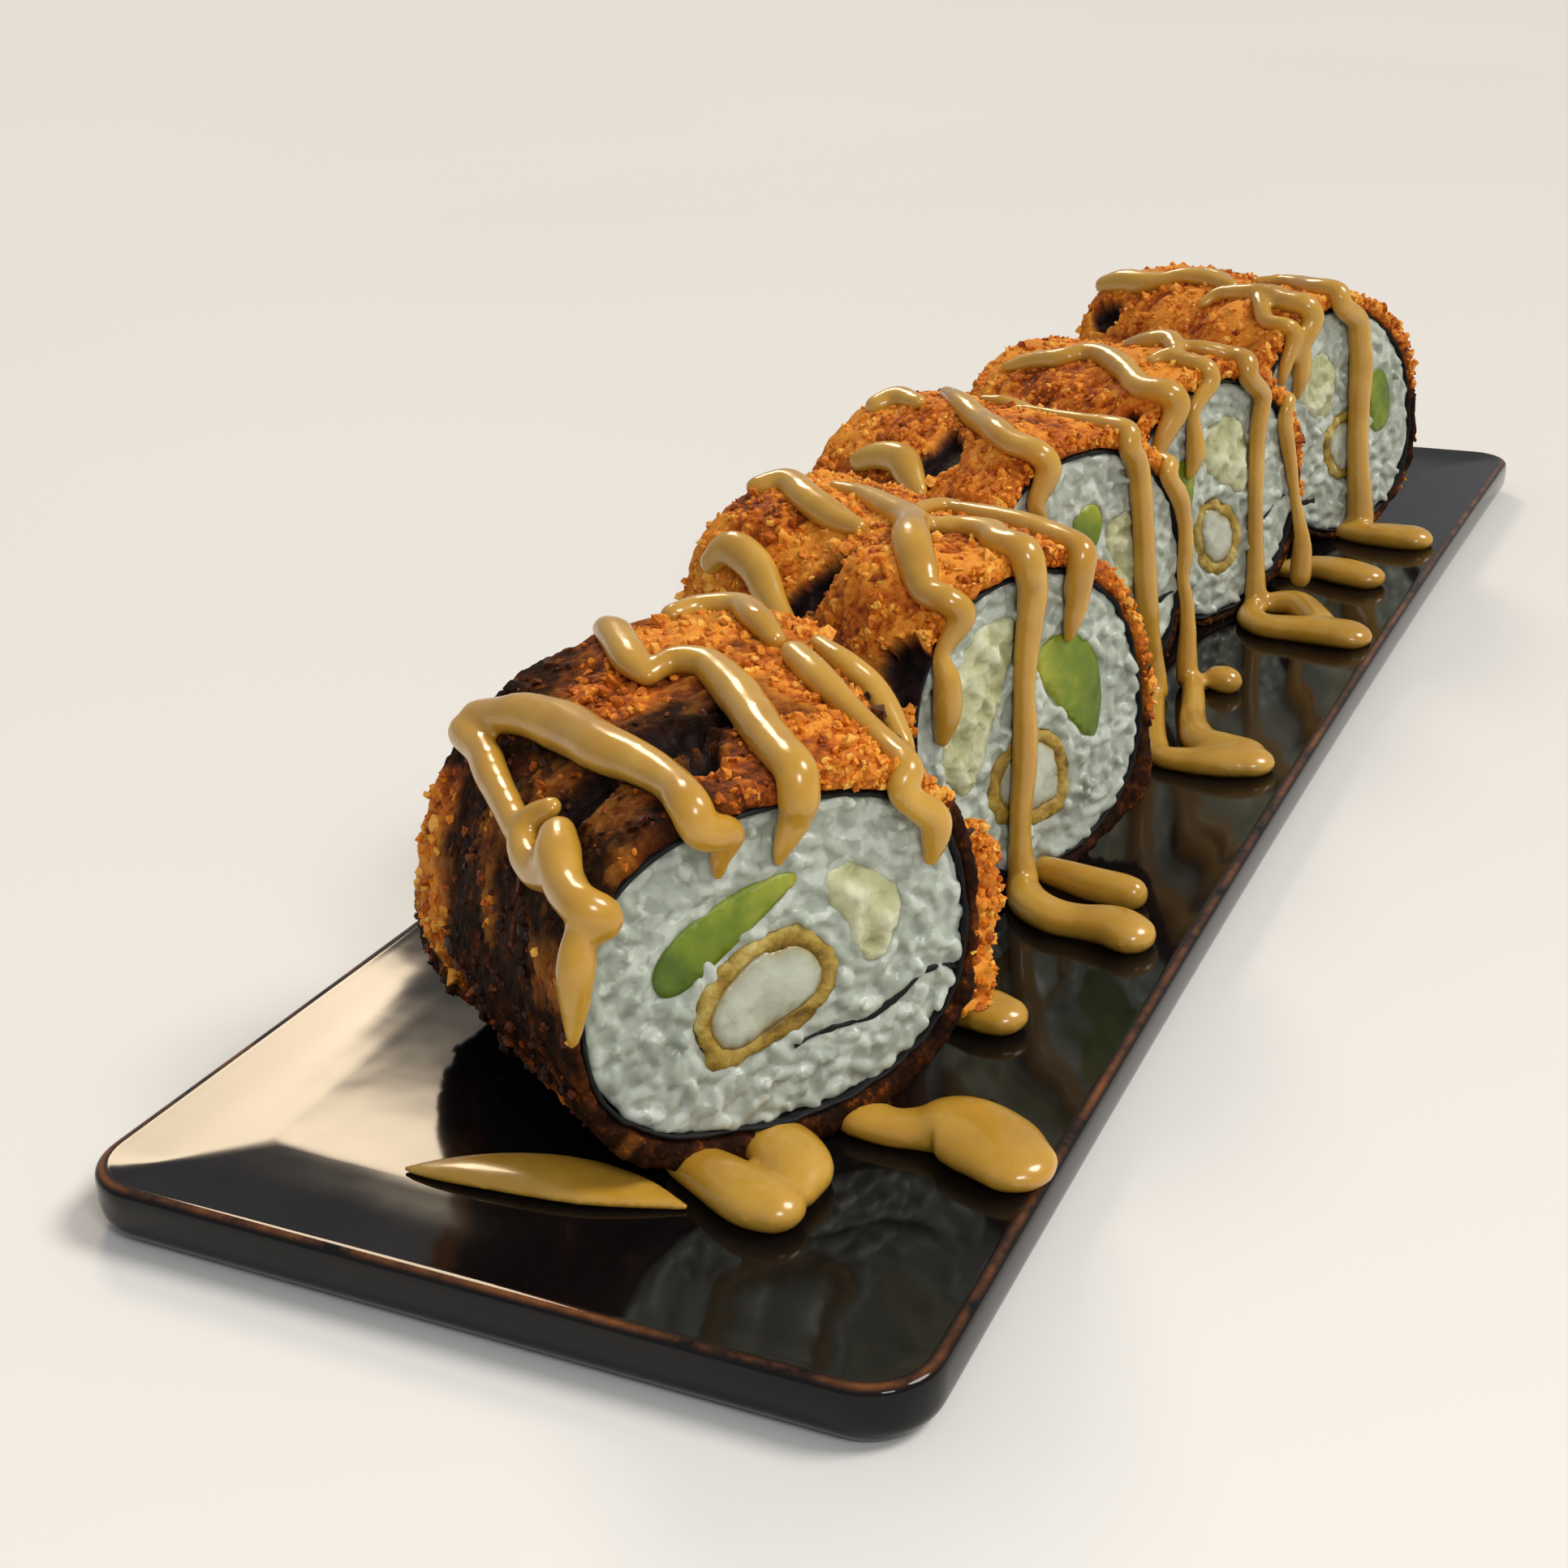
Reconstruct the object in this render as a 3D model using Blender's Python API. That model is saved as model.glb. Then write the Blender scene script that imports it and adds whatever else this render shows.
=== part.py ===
"""Five fried sushi rolls under a zigzag of thick sauce, in a row on a long dark plate.

Lengths are in millimetres and become metres when a mesh is made. The plate's width runs
along X and its length along Y. Each roll lies across the plate with one cut face turned
to +X and a little to -Y. On a roll, x runs across the cut face, y runs up it from its
middle, and depth runs from that face back along the roll.
"""

import math
import random

import bpy
import bmesh
from mathutils import Vector, geometry, noise

MM = 0.001
SEED = 11
GAP = 0.3

# Plate
PLATE_LENGTH = 379.0
PLATE_WIDTH = 110.0
PLATE_WAIST = 2.1
PLATE_CORNER = 9.0
PLATE_HEIGHT = 8.1
FLOOR = 7.0
PLATE_PROFILE = (
    (4.2, 0.0),
    (1.5, 0.6),
    (0.35, 2.2),
    (0.0, 4.2),
    (0.0, 6.9),
    (0.4, 7.8),
    (1.4, PLATE_HEIGHT),
    (3.2, 7.9),
    (9.0, 7.3),
    (17.0, FLOOR),
)

# Layers of a roll, as thicknesses or as heights over the plate's floor
NORI = 0.6
STRIP = 0.7
BATTER_WALL = 2.3
FILLING_POINTS = 16
AROUND = 28
ALONG = 6
FACE_LEAN = math.tan(math.radians(5.0))
FOOT_CLEARANCE = 1.6
FOOT_HALF_WIDTH = 19.0
GRAIN_PITCH = 4.3
GRAIN_SHIFT = 0.9
GRAIN_RELIEF = 0.55
FACE_RELIEF = 0.25
FACE_DOME = 0.2
EDGE_IN = 0.5
EDGE_OUT = 1.0
ROW_SHIFT = 1.6
LOW = {"crust": GAP, "crust_inner": 1.1, "rice": 2.3}
CRUST_THIN = 0.8
CRUST_SIDES = 1.4
CRUST_TOP = 1.4
CRAGS = 1.2
CRUMBS = 0.55

# Each filling is its middle x and y, length, width, turn in degrees, bend, taper and squareness
ROLLS = {
    "roll_1": {
        "at": (21.5, -148.5),
        "yaw": 37.0,
        "length": 50.0,
        "face": (24.9, 19.2),
        "back": (24.5, 20.5),
        "centre": 24.2,
        "back_shift": (0.5, 1.0),
        "lean": (0.06, 0.26),
        "squareness": 2.5,
        "bottom_crust": 2.3,
        "lumps": ((58, 20, 2.4, 9), (56, 38, 4.6, 13), (112, 30, -0.9, 7), (75, 8, 1.0, 6)),
        "swirl": (
            (27.0, -7.2), (21.6, -6.0), (18.8, -6.3), (14.9, -8.6), (11.0, -9.9), (5.6, -9.9), (1.0, -10.6),
        ),
        "avocado": (-6.6, 6.1, 21.0, 4.8, -153, 0.9, 0.4, 0.75),
        "cheese": (11.3, 4.3, 13.6, 8.0, 119, 2.2, -0.2, 0.9),
        "batter": (-2.4, -3.4, 19.6, 12.8, -157, 1.1, -0.05, 0.78),
    },
    "roll_2": {
        "at": (23.9, -67.2),
        "yaw": 26.0,
        "length": 53.0,
        "face": (22.4, 22.0),
        "back": (22.9, 22.4),
        "centre": 24.1,
        "back_shift": (0.0, 0.5),
        "lean": (-0.04, 0.0),
        "squareness": 2.2,
        "bottom_crust": 0.0,
        "lumps": (
            (122, 17, 4.2, 7), (128, 31, -1.2, 5), (118, 46, 2.6, 8), (62, 10, 0.8, 6),
            (325, 2, 3.6, 5), (45, 24, 1.4, 8), (0, 48, -1.0, 9),
        ),
        "swirl": ((-24.0, -12.4), (-18.6, -12.6), (-15.2, -12.6), (-12.0, -13.0)),
        "avocado": (9.0, 3.3, 18.8, 9.6, 118, 2.0, 0.4, 1.0),
        "cheese": (-10.4, 5.8, 26.6, 11.0, 64, -2.6, 0.0, 0.9),
        "batter": (-0.5, -8.0, 14.4, 16.2, 263, 1.1, 0.16, 0.88),
    },
    "roll_3": {
        "at": (11.5, -3.4),
        "yaw": 24.0,
        "length": 46.0,
        "face": (23.9, 22.0),
        "back": (23.0, 22.0),
        "centre": 24.1,
        "back_shift": (0.0, 0.0),
        "lean": (-0.03, 0.0),
        "squareness": 2.2,
        "bottom_crust": 0.0,
        "lumps": (
            (100, 8, 1.8, 8), (118, 19, -1.2, 6), (100, 33, 1.6, 8), (50, 20, 1.0, 8), (180, 10, -1.2, 10),
        ),
        "swirl": ((26.0, -6.3), (19.5, -7.2), (14.6, -9.8), (9.4, -11.4)),
        "avocado": (1.2, 9.6, 7.8, 7.2, 75, -0.6, 0.0, 1.0),
        "cheese": (9.9, 2.6, 16.6, 7.8, 98, -0.1, 0.2, 0.8),
        "batter": (-2.6, -5.2, 16.0, 13.8, 117, -0.3, 0.05, 0.98),
    },
    "roll_4": {
        "at": (18.5, 53.3),
        "yaw": 22.0,
        "length": 46.0,
        "face": (24.8, 21.8),
        "back": (23.0, 21.0),
        "centre": 23.9,
        "back_shift": (0.0, 0.0),
        "lean": (-0.03, 0.0),
        "squareness": 2.2,
        "bottom_crust": 0.0,
        "lumps": ((80, 12, 2.2, 8), (118, 26, 1.4, 8), (92, 38, -0.6, 6), (40, 22, 1.2, 8)),
        "swirl": ((27.0, -3.2), (20.4, -4.4), (15.6, -7.0), (10.8, -8.8)),
        "avocado": (-9.7, 4.2, 7.2, 12.0, 171, -1.4, -0.1, 0.9),
        "cheese": (4.2, 7.6, 16.8, 12.0, 127, 1.6, 0.4, 1.0),
        "batter": (0.2, -6.8, 16.0, 13.0, 125, 0.0, -0.15, 1.0),
    },
    "roll_5": {
        "at": (28.6, 114.8),
        "yaw": 24.0,
        "length": 53.0,
        "face": (24.4, 23.0),
        "back": (24.0, 22.5),
        "centre": 25.1,
        "back_shift": (0.0, 0.0),
        "lean": (-0.12, -0.05),
        "squareness": 2.2,
        "bottom_crust": 0.0,
        "lumps": ((118, 14, 1.6, 8), (104, 34, 1.8, 9), (128, 48, 1.2, 7), (20, 3, 1.6, 6)),
        "swirl": ((-27.0, -10.8), (-19.6, -12.8), (-14.4, -14.6), (-8.6, -15.4)),
        "avocado": (14.1, 2.0, 13.4, 7.0, 95, 0.9, -0.05, 0.75),
        "cheese": (-7.3, 8.7, 12.0, 13.6, 183, -0.6, -0.1, 0.9),
        "batter": (2.2, -5.3, 14.8, 14.8, 185, -0.8, 0.0, 0.92),
    },
}

# Sauce strands on each roll: width, route over the crust as (angle, depth), then down the cut face as (x, y)
STRANDS = {
    "roll_1": (
        (
            4.6, ((146, 47), (144, 41), (147, 31), (149, 21), (149, 12), (152, 4)),
            ((-25.0, 6.4), (-26.2, 1.0), (-26.6, -5.6)),
        ),
        (4.2, ((146, 23), (138, 17), (138, 11)), ()),
        (5.2, ((137, 45), (127, 38), (120, 29), (117, 19), (110, 7)), ((-6.2, 16.2), (-7.4, 13.0))),
        (4.6, ((97, 47), (98, 38), (94, 31), (88, 22), (86, 13), (88, 5)), ((3.4, 17.0), (1.0, 12.6))),
        (4.4, ((88, 46), (78, 43), (72, 34), (67, 25), (66, 14), (60, 5)), ((21.6, 13.0), (20.4, 8.2))),
        (4.0, ((65, 47), (63, 39), (58, 30), (48, 23)), ()),
    ),
    "roll_2": (
        (4.6, ((106, 50), (99, 44), (104, 34), (95, 26)), ()),
        (
            4.8, ((90, 42), (89, 33), (94, 22), (106, 11), (119, 4)),
            ((-16.4, 12.6), (-17.2, 8.6), (-18.2, 2.6)),
        ),
        (
            4.4, ((89, 24), (83, 16), (86, 6)),
            ((0.4, 16.0), (-0.8, 9.0), (-2.5, 0.0), (-4.0, -9.0), (-5.2, -17.8)),
        ),
        (4.0, ((76, 27), (69, 18), (68, 8)), ((8.8, 16.0), (7.8, 11.4))),
        (3.6, ((82, 33), (70, 29), (58, 22)), ()),
    ),
    "roll_3": (
        (4.2, ((148, 38), (134, 32), (125, 26), (132, 19)), ()),
        (4.2, ((99, 42), (90, 36), (95, 26), (100, 16), (104, 6)), ((-11.6, 16.8), (-10.4, 12.8))),
        (
            3.8, ((78, 32), (75, 22), (76, 12), (72, 4)),
            ((11.2, 17.0), (11.9, 8.0), (12.8, -2.0), (13.3, -12.0), (13.6, -17.6)),
        ),
        (3.6, ((46, 15), (42, 9), (36, 4)), ((23.2, 6.0), (24.2, -1.0), (22.8, -9.4), (19.8, -17.0))),
    ),
    "roll_4": (
        (4.2, ((122, 42), (108, 34), (98, 25), (106, 14), (120, 5)), ((-16.8, 13.6), (-16.4, 9.8))),
        (3.6, ((100, 15), (90, 9), (96, 4)), ((-7.4, 15.4), (-7.8, 10.0), (-9.4, 4.6))),
        (4.2, ((80, 25), (77, 15), (68, 5)), ((13.8, 16.0), (12.6, 6.0), (11.4, -4.0), (10.4, -15.6))),
        (3.6, ((52, 15), (46, 8), (38, 3)), ((22.6, 7.2), (24.6, 1.0), (23.8, -8.0), (20.4, -15.0))),
    ),
    "roll_5": (
        (4.2, ((130, 48), (114, 44), (106, 35), (98, 27), (98, 19)), ()),
        (4.0, ((124, 18), (111, 15), (106, 6)), ((-14.0, 13.6), (-14.2, 8.2))),
        (4.4, ((84, 21), (83, 12), (89, 4)), ((4.6, 17.0), (5.8, 8.0), (5.2, -4.0), (5.4, -18.2))),
    ),
}

# The loose flap of crust that sags from the first roll's far side, as (x, y, depth)
FLAP = (
    (28.5, 9.0, 6.0), (32.0, 7.0, 7.0), (33.6, 2.0, 7.5),
    (33.0, -4.0, 8.0), (31.6, -10.0, 8.0), (30.6, -14.0, 8.0),
)
FLAP_RADIUS = 3.4

# Sauce on the plate: fingers as (x, y, half width), and how high each pool stands
POOLS = {
    "sauce_leaf": (
        2.8,
        (
            ((-17.6, -172.6, 0.5), (-9.0, -171.8, 2.2), (0.5, -169.6, 3.7), (9.0, -167.4, 3.0), (15.4, -166.4, 0.6)),
        ),
    ),
    "sauce_pool_1": (
        4.6,
        (
            ((20.0, -162.4, 3.4), (23.0, -165.0, 4.2), (27.4, -166.4, 3.6)),
            ((24.4, -155.6, 3.2), (26.2, -159.4, 4.0), (26.0, -163.4, 3.4)),
        ),
    ),
    "sauce_pool_2": (
        4.8,
        (
            ((29.6, -141.4, 3.0), (34.6, -141.6, 3.8), (40.0, -140.4, 6.4), (45.4, -143.4, 6.0), (49.6, -147.6, 4.4)),
        ),
    ),
    "sauce_pool_3": (3.6, (((34.2, -113.4, 4.0), (36.4, -114.4, 3.8)),)),
    "sauce_pool_4": (
        4.4,
        (
            ((27.0, -75.6, 3.0), (29.6, -80.0, 3.4), (35.4, -83.4, 3.4), (41.0, -84.4, 4.0), (45.8, -86.0, 3.6)),
            ((28.4, -75.2, 2.6), (31.6, -72.4, 3.0), (36.0, -71.6, 3.2), (41.0, -72.2, 2.8)),
        ),
    ),
    "sauce_pool_5": (
        4.2,
        (
            ((29.4, -20.6, 3.2), (36.0, -21.0, 3.2), (43.4, -20.6, 3.6)),
            ((34.6, -10.4, 2.2), (39.6, -14.0, 2.4), (43.6, -17.6, 2.4)),
        ),
    ),
    "sauce_drop": (4.2, (((30.4, 17.4, 2.8), (31.6, 17.0, 2.6)),)),
    "sauce_pool_6": (
        4.2,
        (
            ((29.6, 48.4, 3.2), (36.6, 47.4, 3.2), (43.6, 46.8, 3.8), (47.4, 46.4, 3.4)),
            ((31.4, 61.6, 2.6), (36.0, 56.0, 2.6), (38.6, 50.4, 2.4)),
        ),
    ),
    "sauce_pool_7": (4.2, (((28.6, 83.6, 2.8), (34.4, 85.0, 3.4), (41.6, 83.0, 3.6)),)),
    "sauce_pool_8": (4.2, (((36.8, 112.4, 3.2), (42.4, 111.4, 3.0), (47.6, 110.2, 3.4)),)),
}

# A strand's swell along its length, and its start and end as shares of its thickness
SWELL = 0.12
STRAND_START = 0.55
STRAND_END = 0.5
STRAND_CLEAR = 0.4
STRAND_BEFORE_FACE = 0.8

# How far a pool's round end reaches and how large it is there, and the height of a thin finger
POOL_END = 0.75
POOL_END_SIZE = 0.55
POOL_THIN = 0.35
POOL_GAP = 0.4
POOL_FULLNESS = 0.8

# Colour, roughness and coat of each kind of node
LOOKS = {
    "plate": ((0.012, 0.011, 0.012), 0.16, 0.5),
    "crust": ((0.52, 0.2, 0.03), 0.6, 0.0),
    "nori": ((0.012, 0.014, 0.012), 0.5, 0.0),
    "rice": ((0.72, 0.74, 0.7), 0.4, 0.1),
    "avocado": ((0.3, 0.46, 0.05), 0.4, 0.1),
    "cheese": ((0.78, 0.8, 0.6), 0.45, 0.0),
    "shrimp": ((0.8, 0.76, 0.7), 0.35, 0.2),
    "batter": ((0.55, 0.38, 0.07), 0.6, 0.0),
    "sauce": ((0.6, 0.36, 0.1), 0.25, 0.4),
}


def clear_scene():
    for thing in list(bpy.data.objects):
        bpy.data.objects.remove(thing)


def new_collection(name):
    collection = bpy.data.collections.new(name)
    bpy.context.scene.collection.children.link(collection)
    return collection


def look(kind):
    """The material of a kind of node, made once."""
    found = bpy.data.materials.get(kind)
    if found:
        return found
    colour, roughness, coat = LOOKS[kind]
    material = bpy.data.materials.new(kind)
    material.use_nodes = True
    shader = material.node_tree.nodes["Principled BSDF"]
    shader.inputs["Base Color"].default_value = (*colour, 1.0)
    shader.inputs["Roughness"].default_value = roughness
    shader.inputs["Coat Weight"].default_value = coat
    return material


def add_object(name, mesh, collection, kind=None):
    body = bpy.data.objects.new(name, mesh)
    collection.objects.link(body)
    if kind:
        mesh.materials.clear()
        mesh.materials.append(look(kind))
        mesh.shade_smooth()
        mesh.set_sharp_from_angle(angle=math.radians(50))
    return body


def mesh_from(name, points, faces):
    """A closed mesh in metres from points in millimetres, with its faces turned outwards."""
    shape = bmesh.new()
    verts = [shape.verts.new(Vector(p) * MM) for p in points]
    for face in faces:
        shape.faces.new([verts[i] for i in face])
    bmesh.ops.triangulate(shape, faces=shape.faces)
    bmesh.ops.recalc_face_normals(shape, faces=shape.faces)
    mesh = bpy.data.meshes.new(name)
    shape.to_mesh(mesh)
    shape.free()
    return mesh


def power(value, exponent):
    return math.copysign(abs(value) ** exponent, value)


def blend(start, end, share):
    return start + (end - start) * share


def smooth(points, steps):
    """A smooth curve through the points, with so many steps from each to the next."""
    points = [Vector(p) for p in points]
    curve = []
    for i, (here, there) in enumerate(zip(points, points[1:])):
        before = points[i - 1] if i else here * 2 - there
        after = points[i + 2] if i + 2 < len(points) else there * 2 - here
        for step in range(steps):
            t = step / steps
            curve.append(
                (here * 2 + (there - before) * t + (before * 2 - here * 5 + there * 4 - after) * t ** 2
                 + (here * 3 - before - there * 3 + after) * t ** 3) / 2
            )
    curve.append(points[-1])
    return curve


def offset_loop(loop, distance):
    """A closed loop that runs anticlockwise, moved outwards by the distance."""
    moved = []
    count = len(loop)
    for i, point in enumerate(loop):
        along = (loop[(i + 1) % count] - loop[i - 1]).normalized()
        moved.append(point + Vector((along.y, -along.x)) * distance)
    return moved


def inside(point, loop):
    hit = False
    for a, b in zip(loop, loop[1:] + loop[:1]):
        if (a.y > point.y) != (b.y > point.y):
            if point.x < a.x + (point.y - a.y) / (b.y - a.y) * (b.x - a.x):
                hit = not hit
    return hit


def far_from(point, loop, distance):
    for a, b in zip(loop, loop[1:] + loop[:1]):
        nearest, share = geometry.intersect_point_line(point, a, b)
        nearest = a.lerp(b, min(max(share, 0.0), 1.0))
        if (point - nearest.to_2d()).length < distance:
            return False
    return True


# Plate

def plate_outline(inset):
    """The plate's outline as points, with round corners and long sides that curve in a little."""
    half_width = PLATE_WIDTH / 2 - inset
    half_length = PLATE_LENGTH / 2 - inset
    radius = max(PLATE_CORNER - inset, 2.0)
    corner_steps = 4
    side_steps = 4
    quarter = []
    for step in range(corner_steps + 1):
        angle = math.pi / 2 * step / corner_steps
        x = half_width - radius * (1 - math.cos(angle))
        y = half_length - radius * (1 - math.sin(angle))
        quarter.append((x, y))
    upper = quarter + [(-x, y) for x, y in reversed(quarter)]
    reach = half_length - radius
    left = [(-half_width, blend(reach, -reach, s / side_steps)) for s in range(1, side_steps)]
    right = [(half_width, blend(-reach, reach, s / side_steps)) for s in range(1, side_steps)]
    lower = [(-x, -y) for x, y in upper]
    loop = upper + left + lower + right
    bent = []
    for x, y in loop:
        share = min(abs(x) / half_width, 1.0) ** 3
        bent.append(Vector((x - math.copysign(waist(y), x) * share, y)))
    return bent


def waist(y):
    """How far a long side has moved in at this place along the plate."""
    return PLATE_WAIST * max(1 - (2 * y / PLATE_LENGTH) ** 2, 0.0)


def plate_top(x, y):
    """Height of the plate's upper side, from how near the point is to an edge."""
    inset = min(PLATE_WIDTH / 2 - waist(y) - abs(x), PLATE_LENGTH / 2 - abs(y))
    slope = PLATE_PROFILE[-4:]
    for (near, high), (far, low) in zip(slope, slope[1:]):
        if inset < far:
            return blend(high, low, max(inset - near, 0.0) / (far - near))
    return FLOOR


def make_plate(collection):
    rings = [[(p.x, p.y, z) for p in plate_outline(inset)] for inset, z in PLATE_PROFILE]
    count = len(rings[0])
    points = [p for ring in rings for p in ring]
    faces = [list(range(count)), list(range(len(points) - count, len(points)))]
    for level in range(len(rings) - 1):
        for i in range(count):
            j = (i + 1) % count
            low, high = level * count, (level + 1) * count
            faces.append((low + i, low + j, high + j, high + i))
    add_object("plate", mesh_from("plate", points, faces), collection, "plate")


# The form of a roll

def oval_point(roll, angle, offset):
    """A point of the roll's section on its cut face, so far outside the rice."""
    half_width, half_height = roll["face"]
    exponent = 2 / roll["squareness"]
    x = (half_width + offset) * power(math.cos(angle), exponent)
    y = (half_height + offset) * power(math.sin(angle), exponent)
    return Vector((x + roll["lean"][0] * y, y))


def oval(roll, offset):
    return [oval_point(roll, 2 * math.pi * i / AROUND, offset) for i in range(AROUND)]


def place(roll, x, y, depth, low=None):
    """The point in space for a place on the roll's section at a depth behind the cut face."""
    share = depth / roll["length"]
    wide = blend(1.0, roll["back"][0] / roll["face"][0], share)
    tall = blend(1.0, roll["back"][1] / roll["face"][1], share)
    across = x * wide + y * (roll["lean"][1] - roll["lean"][0]) * share + roll["back_shift"][0] * share
    up = roll["centre"] + roll["back_shift"][1] * share + y * tall
    if low is not None:
        up = max(up, LOW[low])
    lean_back = FACE_LEAN * y * (1 - share)
    out, side = axes(roll)
    ground = Vector((*roll["at"], FLOOR + up))
    return ground + side * across - out * (depth + lean_back)


def axes(roll):
    """The directions out of the cut face and to the right along it."""
    yaw = math.radians(roll["yaw"])
    return Vector((math.cos(yaw), -math.sin(yaw), 0.0)), Vector((math.sin(yaw), math.cos(yaw), 0.0))


def crust_thickness(roll, angle, depth):
    """Thickness of the crust round and along a roll, with its lumps and bare dips."""
    degrees = math.degrees(angle) % 360
    thick = CRUST_SIDES + CRUST_TOP * max(math.sin(angle), 0.0)
    thick += roll["bottom_crust"] * math.exp(-(((degrees - 270) / 52) ** 2))
    half_width = roll["face"][0]
    for where, far, height, spread in roll["lumps"]:
        turn = math.radians((degrees - where + 180) % 360 - 180) * half_width
        thick += height * math.exp(-(turn ** 2 + (depth - far) ** 2) / spread ** 2)
    return max(thick, CRUST_THIN)


def bead_point(roll, degrees, depth, radius):
    """The middle of a bead that is sunk into the crust but stays clear of the seaweed."""
    angle = math.radians(degrees)
    offset = NORI + GAP + max(crust_thickness(roll, angle, depth) + 0.25 * radius, radius + STRAND_CLEAR)
    point = oval_point(roll, angle, offset)
    return place(roll, point.x, point.y, depth, "crust")


# Solids that run through a roll

def section_mesh(name, roll, outer, holes, low, relief, inner_points=()):
    """A solid that runs through the roll: an outline with holes, and two ends with some relief."""
    loops = [outer] + holes
    flat = [p for loop in loops for p in loop] + list(inner_points)
    edges = []
    start = 0
    for loop in loops:
        count = len(loop)
        edges += [(start + i, start + (i + 1) % count) for i in range(count)]
        start += count
    verts, _, triangles, origins, _, _ = geometry.delaunay_2d_cdt(flat, edges, [], 0, 1e-6)
    kept = []
    for a, b, c in triangles:
        middle = (verts[a] + verts[b] + verts[c]) / 3
        if inside(middle, outer) and not any(inside(middle, hole) for hole in holes):
            kept.append((a, b, c))
    on_edge = {i for i, origin in enumerate(origins) if min(origin) < start}
    front = []
    back = []
    for i, p in enumerate(verts):
        high = 0.0 if i in on_edge else 1.0
        front.append(place(roll, p.x, p.y, -relief(p, 0.0, high), low))
        back.append(place(roll, p.x, p.y, roll["length"] + relief(p, 9.0, high), low))
    shift = len(verts)
    faces = list(kept)
    faces += [(shift + c, shift + b, shift + a) for a, b, c in kept]
    seen = {}
    for triangle in kept:
        for a, b in zip(triangle, triangle[1:] + triangle[:1]):
            seen[(a, b)] = True
    for a, b in seen:
        if (b, a) not in seen:
            faces.append((a, shift + a, shift + b, b))
    used = sorted({i for face in faces for i in face})
    index = {old: new for new, old in enumerate(used)}
    points = front + back
    return mesh_from(name, [points[i] for i in used], [[index[i] for i in face] for face in faces])


def gentle(p, side, high):
    """Slow unevenness of a cut end."""
    return FACE_RELIEF * noise.noise(Vector((p.x, p.y, side * 3)) * 0.09) + FACE_DOME * high


def grainy(p, side, high):
    """Unevenness of a cut end of rice, with bumps of a grain's size."""
    return gentle(p, side, 0.0) + high * GRAIN_RELIEF * (0.35 + noise.cell(Vector((p.x, p.y, side)) * 3.1))


def swirl_sides(roll, half):
    """The two sides of the seaweed strip that turns into the roll, from outside to its tip."""
    middle = smooth(roll["swirl"], 2)
    left = []
    right = []
    for i, point in enumerate(middle):
        along = (middle[min(i + 1, len(middle) - 1)] - middle[max(i - 1, 0)]).normalized()
        aside = Vector((-along.y, along.x)) * half
        left.append(point + aside)
        right.append(point - aside)
    return left, right


def cut_side(side, ring):
    """Starts the side where it crosses the ring, a hair outside so that no three points are in line."""
    for i, (a, b) in enumerate(zip(side, side[1:])):
        for c, d in zip(ring, ring[1:] + ring[:1]):
            crossing = geometry.intersect_line_line_2d(a, b, c, d)
            if crossing:
                return [Vector(crossing) * 1.001] + side[i + 1:]
    return side


def slotted_oval(roll, offset, half, longer):
    """The section's oval, with a slot that follows the seaweed strip."""
    ring = oval(roll, offset)
    left, right = (cut_side(side, ring) for side in swirl_sides(roll, half))
    tip = (left[-1] + right[-1]) / 2
    ahead = (tip - (left[-2] + right[-2]) / 2).normalized() * longer
    left[-1] = left[-1] + ahead
    right[-1] = right[-1] + ahead
    turn = {"left": math.atan2(left[0].y, left[0].x), "right": math.atan2(right[0].y, right[0].x)}
    swing = (turn["left"] - turn["right"] + math.pi) % (2 * math.pi) - math.pi
    first, last = (left, right) if swing > 0 else (right, left)
    begin = math.atan2(first[0].y, first[0].x)
    span = (math.atan2(last[0].y, last[0].x) - begin) % (2 * math.pi)
    spare = 0.035
    kept = []
    for point in ring:
        turned = (math.atan2(point.y, point.x) - begin) % (2 * math.pi)
        if spare < turned < span - spare:
            kept.append((turned, point))
    kept = [point for _, point in sorted(kept, key=lambda pair: pair[0])]
    return [first[0]] + kept + last + first[:0:-1]


def filling_loop(roll, kind):
    """A filling's outline: a long rounded form, more or less square, tapered and bent."""
    x, y, length, width, turn, bend, taper, squareness = roll[kind]
    turned = math.radians(turn)
    loop = []
    for i in range(FILLING_POINTS):
        angle = 2 * math.pi * i / FILLING_POINTS
        along = power(math.cos(angle), squareness)
        half = width / 2 * (1 + taper * along)
        aside = half * power(math.sin(angle), squareness) + bend * (along ** 2 - 0.5)
        along *= length / 2
        loop.append(
            Vector((
                x + along * math.cos(turned) - aside * math.sin(turned),
                y + along * math.sin(turned) + aside * math.cos(turned),
            ))
        )
    return loop


def make_fillings(name, roll, collection):
    """Avocado, cream cheese, shrimp and its batter. Returns the holes that they take in the rice."""
    holes = []
    for kind in ("avocado", "cheese", "batter"):
        loop = filling_loop(roll, kind)
        holes.append(offset_loop(loop, GAP))
        inner = []
        if kind == "batter":
            inner = [offset_loop(loop, -BATTER_WALL)]
            shrimp = offset_loop(loop, -BATTER_WALL - GAP)
            mesh = section_mesh(name + "_shrimp", roll, shrimp, [], None, gentle)
            add_object(name + "_shrimp", mesh, collection, "shrimp")
        mesh = section_mesh(name + "_" + kind, roll, loop, inner, None, gentle)
        add_object(name + "_" + kind, mesh, collection, kind)
    return holes


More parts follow.
